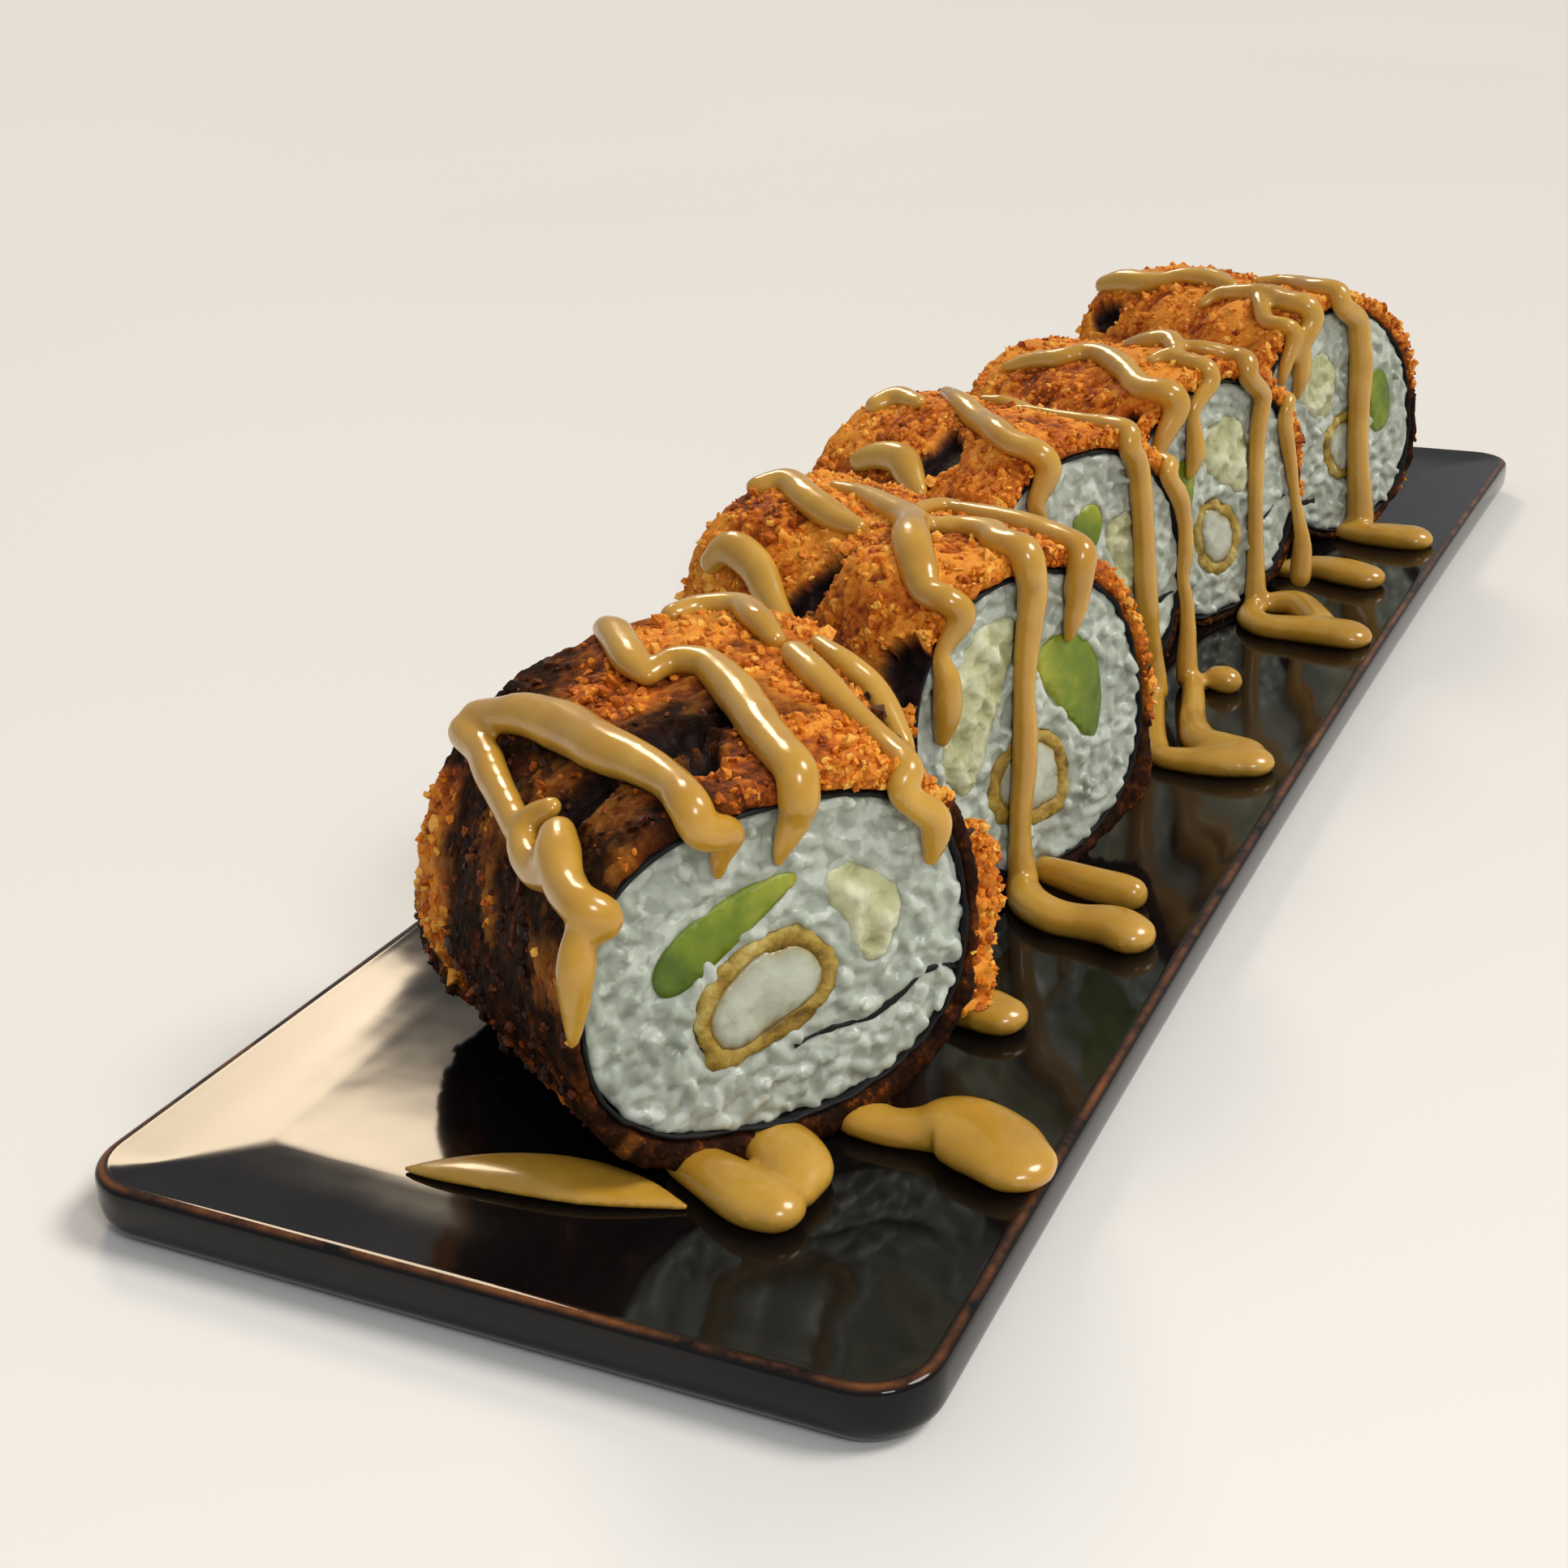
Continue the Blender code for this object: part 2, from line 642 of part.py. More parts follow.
def grain_points(rng, outer, holes):
    """Places on a cut face, a grain apart and clear of every edge."""
    reach = int(30 / GRAIN_PITCH)
    points = []
    for row in range(-reach, reach + 1):
        for column in range(-reach, reach + 1):
            x = (column + 0.5 * (row % 2)) * GRAIN_PITCH + rng.uniform(-GRAIN_SHIFT, GRAIN_SHIFT)
            y = row * GRAIN_PITCH * 0.87 + rng.uniform(-GRAIN_SHIFT, GRAIN_SHIFT)
            point = Vector((x, y))
            if not inside(point, outer) or any(inside(point, hole) for hole in holes):
                continue
            if all(far_from(point, loop, 1.0) for loop in [outer] + holes):
                points.append(point)
    return points


def make_rice(name, roll, collection, holes, rng):
    outer = slotted_oval(roll, -GAP, STRIP / 2 + GAP, GAP)
    points = grain_points(rng, outer, holes)
    mesh = section_mesh(name + "_rice", roll, outer, holes, "rice", grainy, points)
    add_object(name + "_rice", mesh, collection, "rice")


def make_nori(name, roll, collection):
    """The seaweed: a ring round the rice and the strip that turns into it."""
    outer = oval(roll, NORI)
    inner = slotted_oval(roll, 0.0, STRIP / 2, 0.0)
    mesh = section_mesh(name + "_nori", roll, outer, [inner], None, gentle)
    add_object(name + "_nori", mesh, collection, "nori")


# Crust and sauce

def crust_mesh(name, roll, rng):
    """A rough tube round the seaweed, open at both cut ends."""
    points = []
    stations = [roll["length"] * j / ALONG for j in range(ALONG + 1)]
    for j, station in enumerate(stations):
        end = j in (0, ALONG)
        for i in range(AROUND):
            angle = 2 * math.pi * i / AROUND
            depth = station + (rng.uniform(-EDGE_IN, EDGE_OUT) if end else rng.uniform(-ROW_SHIFT, ROW_SHIFT))
            spot = Vector((math.cos(angle) * 3.0, math.sin(angle) * 3.0, depth * 0.12 + roll["at"][1]))
            crag = CRAGS * noise.noise(spot * 1.3) + rng.uniform(-CRUMBS, CRUMBS)
            thick = max(crust_thickness(roll, angle, depth) + crag, CRUST_THIN)
            p = oval_point(roll, angle, NORI + GAP + thick)
            points.append(place(roll, p.x, p.y, depth, "crust"))
    for depth in (0.3, roll["length"] - 0.3):
        for i in range(AROUND):
            p = oval_point(roll, 2 * math.pi * i / AROUND, NORI + GAP)
            points.append(place(roll, p.x, p.y, depth, "crust_inner"))
    inner_front = (ALONG + 1) * AROUND
    inner_back = inner_front + AROUND
    faces = []
    for i in range(AROUND):
        k = (i + 1) % AROUND
        for j in range(ALONG):
            faces.append((j * AROUND + i, j * AROUND + k, (j + 1) * AROUND + k, (j + 1) * AROUND + i))
        faces.append((i, k, inner_front + k, inner_front + i))
        faces.append((ALONG * AROUND + i, ALONG * AROUND + k, inner_back + k, inner_back + i))
        faces.append((inner_front + i, inner_front + k, inner_back + k, inner_back + i))
    return mesh_from(name, points, faces)


def tube_object(name, route, radii, collection):
    """A bead of sauce as a bevelled curve, made a closed mesh."""
    curve = bpy.data.curves.new(name, "CURVE")
    curve.dimensions = "3D"
    curve.bevel_depth = MM
    curve.bevel_resolution = 1
    curve.use_fill_caps = True
    spline = curve.splines.new("POLY")
    spline.points.add(len(route) - 1)
    for point, place_, radius in zip(spline.points, route, radii):
        point.co = (*(place_ * MM), 1.0)
        point.radius = radius
    holder = bpy.data.objects.new(name, curve)
    collection.objects.link(holder)
    bpy.context.view_layer.update()
    mesh = bpy.data.meshes.new_from_object(holder.evaluated_get(bpy.context.evaluated_depsgraph_get()))
    bpy.data.objects.remove(holder)
    shape = bmesh.new()
    shape.from_mesh(mesh)
    bmesh.ops.remove_doubles(shape, verts=shape.verts, dist=0.00002)
    bmesh.ops.triangulate(shape, faces=shape.faces)
    bmesh.ops.recalc_face_normals(shape, faces=shape.faces)
    shape.to_mesh(mesh)
    shape.free()
    body = bpy.data.objects.new(name, mesh)
    collection.objects.link(body)
    return body


def strand_route(roll, width, over, down):
    """The line of a strand: over the crust, round its edge and down in front of the cut face."""
    radius = width / 2 * (1 + SWELL)
    route = [bead_point(roll, angle, depth, radius) for angle, depth in over]
    if down:
        angle = math.radians(over[-1][0])
        edge = NORI + GAP + crust_thickness(roll, angle, 0.0)
        lip = oval_point(roll, angle, max(edge + NORI, NORI + 1.2 * radius + STRAND_CLEAR))
        brow = oval_point(roll, angle, edge - 1.0)
        route.append(place(roll, lip.x, lip.y, -0.3 * radius))
        route.append(place(roll, brow.x, brow.y, -(radius + 1.0)))
        route += [place(roll, x, y, -(radius + STRAND_BEFORE_FACE)) for x, y in down]
    return route


def strand_radii(width, count):
    """A strand's thickness along its line: a thin start, an even run and a round end."""
    radii = []
    for i in range(count):
        share = i / (count - 1)
        swell = 1.0 + SWELL * math.sin(7.0 * share + width)
        radii.append(width / 2 * swell)
    radii[0] *= STRAND_START
    radii[-1] *= STRAND_END
    return radii


def unite(body, others):
    """Joins the collection's objects to the body for good, and removes them."""
    joint = body.modifiers.new("unite", "BOOLEAN")
    joint.operation = "UNION"
    joint.operand_type = "COLLECTION"
    joint.collection = others
    joint.solver = "MANIFOLD"
    bpy.context.view_layer.update()
    mesh = bpy.data.meshes.new_from_object(body.evaluated_get(bpy.context.evaluated_depsgraph_get()))
    body.modifiers.clear()
    old = body.data
    body.data = mesh
    bpy.data.meshes.remove(old)
    for other in list(others.objects):
        bpy.data.objects.remove(other)
    bpy.data.collections.remove(others)
    tidy_mesh(mesh)


def tidy_mesh(mesh):
    """Drops needle triangles and any loose scrap, and keeps the largest body."""
    shape = bmesh.new()
    shape.from_mesh(mesh)
    bmesh.ops.dissolve_degenerate(shape, dist=0.000002, edges=shape.edges)
    bmesh.ops.triangulate(shape, faces=shape.faces)
    left = set(shape.verts)
    groups = []
    while left:
        group = {left.pop()}
        front = set(group)
        while front:
            front = {e.other_vert(v) for v in front for e in v.link_edges} & left
            left -= front
            group |= front
        groups.append(group)
    groups.sort(key=len, reverse=True)
    scraps = [v for group in groups[1:] for v in group]
    bmesh.ops.delete(shape, geom=scraps, context="VERTS")
    bmesh.ops.recalc_face_normals(shape, faces=shape.faces)
    shape.to_mesh(mesh)
    shape.free()


def make_crust(name, roll, collection, rng):
    """The crust of a roll with the strands of sauce that lie on it."""
    node = name + "_crust"
    body = add_object(node, crust_mesh(node, roll, rng), collection, "crust")
    strands = new_collection(node + "_strands")
    for number, (width, over, down) in enumerate(STRANDS[name]):
        route = strand_route(roll, width, over, down)
        tube_object("%s_strand_%d" % (node, number), route, strand_radii(width, len(route)), strands)
    if name == "roll_1":
        flap = [place(roll, *spot) for spot in FLAP]
        radii = [FLAP_RADIUS * (1 + 0.25 * rng.uniform(-1, 1)) for _ in flap]
        tube_object(node + "_flap", flap, radii, strands)
    unite(body, strands)


# Sauce on the plate

def clear_of_faces(spot, half):
    """Moves the middle of a finger out from under a roll, to just before its cut face."""
    for roll in ROLLS.values():
        out, side = axes(roll)
        away = spot - Vector((*roll["at"], 0.0))
        limit = FACE_LEAN * roll["centre"] + FOOT_CLEARANCE + half
        if abs(away.dot(side)) < FOOT_HALF_WIDTH and -12 < away.dot(out) < limit:
            spot = spot + out * (limit - away.dot(out))
    return spot


def finger_mesh(name, finger, height):
    """A low round-topped finger of sauce that lies on the plate."""
    spine = smooth([clear_of_faces(Vector((x, y, 0)), half) for x, y, half in finger], 2)
    widths = [p.x for p in smooth([(half, 0, 0) for _, _, half in finger], 2)]
    round_top = (0, 36, 72, 108, 144, 180)
    points = []
    widest = max(widths)
    steps = [(spine[0], widths[0], -POOL_END), *[(p, w, 0.0) for p, w in zip(spine, widths)]]
    steps.append((spine[-1], widths[-1], POOL_END))
    for i, (point, half, beyond) in enumerate(steps):
        a = spine[max(min(i, len(spine) - 1) - 1, 0)]
        b = spine[min(max(i, 1), len(spine) - 1)]
        along = (b - a).normalized()
        aside = Vector((-along.y, along.x, 0))
        centre = point + along * half * beyond
        share = POOL_END_SIZE if beyond else 1.0
        wide = half * share
        tall = height * share * blend(POOL_THIN, 1.0, half / widest)
        for degrees in round_top:
            angle = math.radians(degrees)
            spot = centre + aside * wide * math.cos(angle)
            ground = plate_top(spot.x, spot.y) + POOL_GAP
            points.append((spot.x, spot.y, ground + tall * math.sin(angle) ** POOL_FULLNESS))
    count = len(round_top)
    faces = [list(range(count)), list(range(len(points) - count, len(points)))]
    for i in range(len(steps) - 1):
        for k in range(count):
            n = (k + 1) % count
            faces.append((i * count + k, i * count + n, (i + 1) * count + n, (i + 1) * count + k))
    return mesh_from(name, points, faces)


def make_pool(name, height, fingers, collection):
    body = add_object(name, finger_mesh(name, fingers[0], height), collection, "sauce")
    if len(fingers) > 1:
        others = new_collection(name + "_fingers")
        for number, finger in enumerate(fingers[1:]):
            part = "%s_finger_%d" % (name, number)
            add_object(part, finger_mesh(part, finger, height * 0.93), others)
        unite(body, others)


def main():
    clear_scene()
    rng = random.Random(SEED)
    collection = new_collection("sushi_rolls_on_plate")
    make_plate(collection)
    for name, roll in ROLLS.items():
        holes = make_fillings(name, roll, collection)
        make_rice(name, roll, collection, holes, rng)
        make_nori(name, roll, collection)
        make_crust(name, roll, collection, rng)
    for name, (height, fingers) in POOLS.items():
        make_pool(name, height, fingers, collection)


main()
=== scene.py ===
import math

import bpy
import bmesh
import numpy as np
from mathutils import Matrix, Vector, geometry


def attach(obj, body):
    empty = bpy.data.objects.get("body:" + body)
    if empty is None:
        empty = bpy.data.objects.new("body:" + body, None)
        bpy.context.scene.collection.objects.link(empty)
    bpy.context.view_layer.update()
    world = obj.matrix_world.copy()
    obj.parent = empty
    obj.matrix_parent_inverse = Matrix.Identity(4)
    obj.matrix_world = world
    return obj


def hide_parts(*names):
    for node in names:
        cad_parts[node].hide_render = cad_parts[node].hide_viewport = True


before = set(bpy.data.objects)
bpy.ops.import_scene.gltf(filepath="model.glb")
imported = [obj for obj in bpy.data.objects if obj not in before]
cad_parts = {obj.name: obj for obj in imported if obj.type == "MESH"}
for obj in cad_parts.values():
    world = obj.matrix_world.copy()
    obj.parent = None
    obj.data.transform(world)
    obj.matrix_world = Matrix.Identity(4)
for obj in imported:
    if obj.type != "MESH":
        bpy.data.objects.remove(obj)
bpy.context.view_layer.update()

# Lengths are millimetres unless a comment says otherwise, and meshes are made in metres. On a roll, x runs
# across the cut face, y runs up it from its middle, and depth runs back along the roll. Angles start at the
# face's right and turn upwards.
MM = 0.001
UP = np.array([0.0, 0.0, 1.0])
FLOOR = 7.0
NORI = 0.6
GAP = 0.3
FACE_LEAN = math.tan(math.radians(5.0))
LOW = {"crust": 0.15, "nori": 0.9, "rice": 2.0}

PLATE_LENGTH = 379.0
PLATE_WIDTH = 110.0
PLATE_WAIST = 2.1
PLATE_CORNER = 9.0
PLATE_HEIGHT = 8.1
PLATE_PROFILE = (
    (4.2, 0.0), (1.5, 0.6), (0.35, 2.2), (0.0, 4.2), (0.0, 6.9),
    (0.4, 7.8), (1.4, PLATE_HEIGHT), (3.2, 7.9), (9.0, 7.3), (17.0, FLOOR),
)
CORNER_STEPS = 12
SIDE_STEPS = 28
END_STEPS = 8

# Where the rim carries a brown-gold line, partly thin glaze and partly a painted reflection: how far in, how
# wide and above what height
RIM_INSET = 0.9
RIM_WIDTH = 0.4
RIM_ABOVE = 7.7

# The rolls. A filling is its middle x and y, length, width, turn, bend, taper and squareness. A lump is its
# angle, depth, height and spread. A golden patch of crumbs, and a bare patch where the seaweed shows, is its
# angle, depth and reach. Green is the direction in which the avocado gets greener.
ROLLS = {
    "roll_1": dict(
        at=(21.5, -148.5), yaw=37.0, length=50.0, face=(24.9, 19.2), back=(24.5, 20.5), centre=24.2,
        back_shift=(0.5, 1.0), lean=(0.06, 0.26), squareness=2.5, bottom_crust=2.3,
        lumps=((58, 20, 2.4, 9), (56, 38, 4.6, 13), (112, 30, -0.9, 7), (75, 8, 1.0, 6)),
        swirl=((25.6, -7.2), (21.6, -6.0), (18.8, -6.3), (14.9, -8.6), (11.0, -9.9), (5.6, -9.9),
               (1.0, -10.6)),
        avocado=(-6.6, 6.1, 21.0, 5.6, -153, 0.9, 0.4, 0.85),
        cheese=(11.3, 4.3, 13.6, 8.0, 119, 2.2, -0.2, 0.9),
        batter=(-2.4, -3.4, 19.6, 12.8, -157, 1.1, -0.05, 0.78),
        golden=((88, 43, 8), (82, 38, 7), (105, 36, 6), (103, 30, 4.5), (76, 28, 7), (70, 19, 7),
                (74, 7, 9), (70, 1, 9), (93, 6, 3), (52, 40, 15), (176, 48, 7), (186, 45, 7), (165, 47, 6)),
        golden_top=0.0, golden_edge=0.26,
        bare=((99, 17, 5.5), (105, 15, 5.0), (100, 9, 3.2), (128, 15, 5.0)), green=(-0.6, -0.4),
    ),
    "roll_2": dict(
        at=(23.9, -67.2), yaw=26.0, length=53.0, face=(22.4, 22.0), back=(22.9, 22.4), centre=24.1,
        back_shift=(0.0, 0.5), lean=(-0.04, 0.0), squareness=2.2, bottom_crust=0.0,
        lumps=((123, 14, 4.4, 7.5), (128, 31, -1.2, 5), (118, 46, 2.6, 8), (62, 10, 0.8, 6),
               (325, 2, 3.6, 5), (45, 24, 1.4, 8), (0, 48, -1.0, 9)),
        swirl=((-22.8, -12.4), (-18.6, -12.6), (-15.2, -12.6), (-12.0, -13.0)),
        avocado=(9.0, 3.3, 18.8, 9.6, 118, 2.0, 0.4, 1.0),
        cheese=(-10.4, 5.8, 26.6, 11.0, 64, -2.6, 0.0, 0.9),
        batter=(-0.5, -8.0, 14.4, 16.2, 263, 1.1, 0.16, 0.88),
        golden=((125, 12, 11), (118, 40, 10)), golden_top=0.9, golden_edge=0.3,
        bare=((133, 24, 4.6), (128, 21.5, 2.6), (141, 27, 3.5), (150, 2, 5.5)), green=(0.9, -0.3),
    ),
    "roll_3": dict(
        at=(11.5, -3.4), yaw=24.0, length=46.0, face=(23.9, 22.0), back=(23.0, 22.0), centre=24.1,
        back_shift=(0.0, 0.0), lean=(-0.03, 0.0), squareness=2.2, bottom_crust=0.0,
        lumps=((100, 8, 1.8, 8), (118, 19, -1.2, 6), (100, 33, 1.6, 8), (50, 20, 1.0, 8),
               (180, 10, -1.2, 10)),
        swirl=((24.8, -6.3), (19.5, -7.2), (14.6, -9.8), (9.4, -11.4)),
        avocado=(1.2, 9.6, 7.8, 7.2, 75, -0.6, 0.0, 1.0),
        cheese=(9.9, 2.6, 16.6, 7.8, 98, -0.1, 0.2, 0.8),
        batter=(-2.6, -5.2, 16.0, 13.8, 117, -0.3, 0.05, 0.98),
        golden=((120, 32, 12),), golden_top=1.0, golden_edge=0.3,
        bare=((122, 20, 4.6), (113, 21, 3.5)), green=(-0.5, -0.8),
    ),
    "roll_4": dict(
        at=(18.5, 53.3), yaw=22.0, length=46.0, face=(24.8, 21.8), back=(23.0, 21.0), centre=23.9,
        back_shift=(0.0, 0.0), lean=(-0.03, 0.0), squareness=2.2, bottom_crust=0.0,
        lumps=((80, 12, 2.2, 8), (118, 26, 1.4, 8), (92, 38, -0.6, 6), (40, 22, 1.2, 8)),
        swirl=((25.6, -3.2), (20.4, -4.4), (15.6, -7.0), (10.8, -8.8)),
        avocado=(-9.7, 4.2, 7.2, 12.0, 171, -1.4, -0.1, 0.9),
        cheese=(4.2, 7.6, 16.8, 12.0, 127, 1.6, 0.4, 1.0),
        batter=(0.2, -6.8, 16.0, 13.0, 125, 0.0, -0.15, 1.0),
        golden=((125, 24, 12),), golden_top=1.0, golden_edge=0.3, bare=((137, 4, 4.0),), green=(-0.8, 0.2),
    ),
    "roll_5": dict(
        at=(28.6, 114.8), yaw=24.0, length=53.0, face=(24.4, 23.0), back=(24.0, 22.5), centre=25.1,
        back_shift=(0.0, 0.0), lean=(-0.12, -0.05), squareness=2.2, bottom_crust=0.0,
        lumps=((118, 14, 1.6, 8), (104, 34, 1.8, 9), (128, 48, 1.2, 7), (20, 3, 1.6, 6)),
        swirl=((-25.8, -10.8), (-19.6, -12.8), (-14.4, -14.6), (-8.6, -15.4)),
        avocado=(14.1, 2.0, 13.4, 7.0, 95, 0.9, -0.05, 0.75),
        cheese=(-7.3, 8.7, 12.0, 13.6, 183, -0.6, -0.1, 0.9),
        batter=(2.2, -5.3, 14.8, 14.8, 185, -0.8, 0.0, 0.92),
        golden=((125, 30, 14),), golden_top=1.0, golden_edge=0.3, bare=((134, 47, 3.6),), green=(0.9, 0.0),
    ),
}

# Strands of sauce: over the crust as (angle, depth, width), then down the cut face as (x, y, width)
STRANDS = {
    "roll_1": (
        (((143, 48, 4.8), (143, 40, 4.7), (145, 34, 4.5), (147, 26, 4.3), (149, 20, 3.9)), ()),
        (((137, 18, 3.2), (143, 20, 3.8), (150, 19, 4.2), (152, 13, 4.4), (148, 8, 4.8)), ()),
        (((140, 12, 5.0), (143, 9, 5.8), (147, 4, 5.2)),
         ((-24.4, 11.2, 4.4), (-25.8, 7.0, 4.8), (-26.3, 2.5, 3.7), (-26.8, -1.8, 1.8))),
        (((138, 48, 4.8), (132, 43, 5.4), (126, 38, 6.2), (120, 30, 6.8), (116, 20, 6.2), (111, 12, 5.5),
          (108, 5, 4.9)),
         ((-5.8, 18.4, 4.5), (-6.8, 16.0, 3.2), (-7.2, 13.6, 1.8))),
        (((96, 50, 4.4), (96, 46, 5.2), (97, 38, 4.9), (96, 33, 3.6)), ()),
        (((96, 33, 3.2), (91, 34, 4.1), (88, 31, 4.6), (87, 26, 5.3), (87, 18, 5.7), (88, 9, 5.6),
          (88, 4, 5.3)),
         ((3.2, 19.6, 4.7), (2.2, 17.2, 3.8), (1.0, 14.8, 2.6), (0.5, 13.2, 1.6))),
        (((85, 49, 3.7), (78, 50, 4.1), (71, 46, 4.4), (73, 38, 4.4), (72, 32, 3.4)), ()),
        (((70, 27, 4.2), (69, 20, 4.6), (66, 14, 4.0), (61, 8, 3.6), (59, 4, 4.0)),
         ((20.8, 14.2, 4.2), (21.0, 11.4, 3.6), (20.5, 8.8, 2.2))),
        (((60, 31, 2.8), (57, 25, 4.2), (50, 22, 4.6), (46, 18, 4.4), (41, 13, 3.2)), ()),
    ),
    "roll_2": (
        (((139, 47, 4.6), (133, 44, 5.4), (135, 38, 5.6), (142, 33, 5.0), (150, 27, 3.6)), ()),
        (((107, 51, 4.0), (100, 48, 4.8), (104, 40, 5.2), (106, 32, 4.8), (106, 27, 3.4)), ()),
        (((90, 43, 2.4), (89, 37, 3.6), (92, 28, 4.9), (96, 20, 5.5), (108, 12, 5.6), (117, 6, 5.6),
          (122, 3, 4.4)),
         ((-17.6, 15.4, 2.9), (-17.4, 11.5, 4.3), (-17.8, 6.8, 4.5), (-18.6, 3.2, 2.8))),
        (((95, 19, 2.6), (92, 16, 3.4), (88, 13, 4.0), (87, 8, 4.9), (90, 4, 5.1)),
         ((-0.2, 20.4, 4.9), (-0.8, 16.6, 4.4), (-1.8, 12.0, 4.1), (-2.6, 6.4, 3.9), (-2.9, 0.2, 3.9),
          (-3.6, -6.0, 3.9), (-4.8, -12.0, 3.9), (-5.3, -18.0, 4.0), (-5.4, -22.6, 5.0))),
        (((73, 25, 2.8), (71, 18, 4.2), (69, 12, 4.4), (67, 6, 4.6)),
         ((9.0, 18.8, 4.4), (8.8, 16.6, 4.0), (8.0, 14.0, 3.3), (7.5, 11.6, 2.0))),
        (((88, 25, 2.6), (80, 26, 3.0), (72, 26, 3.0), (63, 23, 1.8)), ()),
    ),
    "roll_3": (
        (((106, 43, 4.4), (99, 41, 5.0), (101, 34, 3.6)), ()),
        (((134, 35, 4.6), (130, 31, 5.6), (129, 26, 6.0), (134, 22, 5.2), (140, 18, 3.6)), ()),
        (((84, 37, 3.2), (92, 28, 4.3), (99, 19, 5.0), (106, 11, 5.2), (110, 5, 4.8)),
         ((-12.9, 17.4, 3.8), (-12.0, 15.6, 3.0), (-10.8, 13.6, 2.0))),
        (((75, 32, 2.4), (72, 28, 3.4), (69, 25, 2.9), (68, 22, 2.0)), ()),
        (((74, 24, 1.9), (72, 16, 2.6), (71, 9, 3.6), (68, 4, 4.5)),
         ((11.6, 19.4, 4.8), (12.5, 16.0, 4.7), (12.9, 11.0, 4.6), (13.0, 5.0, 4.5), (13.0, -1.0, 4.5),
          (13.3, -7.2, 4.3), (14.2, -12.0, 3.7), (15.0, -17.6, 3.6), (14.6, -22.6, 4.8))),
        (((54, 11, 2.0), (47, 6, 3.2), (39, 3, 3.9)),
         ((23.0, 10.6, 3.8), (24.3, 6.2, 3.4), (24.5, 0.6, 3.3), (23.6, -3.8, 2.7), (24.2, -8.6, 3.2),
          (24.0, -14.2, 3.8), (23.2, -19.0, 4.4), (23.0, -22.4, 4.8))),
    ),
    "roll_4": (
        (((118, 41, 2.8), (112, 36, 3.9), (109, 29, 4.2), (101, 26, 4.5), (102, 20, 5.0), (109, 12, 5.2),
          (117, 5, 5.2)),
         ((-17.0, 15.4, 4.2), (-18.2, 12.8, 3.2), (-18.6, 10.8, 2.0))),
        (((80, 25, 3.4), (82, 19, 5.2), (82, 14, 5.0), (88, 9, 3.2)), ()),
        (((98, 10, 2.8), (93, 8, 4.0), (93, 4, 4.0)),
         ((-7.2, 19.0, 3.3), (-7.4, 15.0, 3.6), (-7.6, 10.8, 4.4), (-8.6, 7.0, 2.4))),
        (((86, 12, 2.4), (80, 7, 3.8), (72, 3, 4.6)),
         ((13.4, 18.0, 4.4), (13.0, 15.0, 4.1), (11.8, 9.8, 3.6), (11.0, 0.6, 3.5), (10.5, -7.5, 3.6),
          (10.1, -15.4, 4.0), (9.4, -21.6, 4.8))),
        (((46, 8, 2.0), (40, 4, 3.0), (35, 2, 3.2)),
         ((20.8, 11.4, 3.4), (21.6, 7.0, 3.4), (23.0, 1.2, 2.9), (24.0, -4.0, 2.5), (25.0, -9.4, 3.2),
          (25.2, -15.0, 4.4), (24.0, -20.4, 5.0))),
    ),
    "roll_5": (
        (((117, 53, 4.6), (114, 48, 6.2), (113, 43, 6.0), (109, 38, 4.2), (104, 34, 4.0), (101, 28, 4.3),
          (102, 21, 3.4)), ()),
        (((96, 37, 2.2), (94, 29, 3.0), (98, 23, 2.4)), ()),
        (((119, 23, 2.6), (111, 21, 3.8), (108, 15, 4.3), (105, 9, 4.8), (107, 4, 4.8)),
         ((-14.6, 18.4, 4.3), (-14.5, 15.4, 4.2), (-15.0, 12.0, 4.2), (-15.7, 8.4, 2.4))),
        (((107, 12, 3.4), (114, 8, 3.6), (122, 4, 3.6)), ((-19.8, 14.6, 3.2), (-20.4, 11.8, 2.0))),
        (((89, 21, 2.4), (83, 17, 3.6), (84, 11, 4.4), (88, 5, 5.0)),
         ((3.8, 20.8, 5.4), (4.6, 16.6, 5.4), (5.0, 11.0, 5.4), (4.2, 3.0, 5.2), (3.5, -6.0, 5.4),
          (3.7, -14.0, 5.8), (3.8, -21.6, 6.4))),
    ),
}

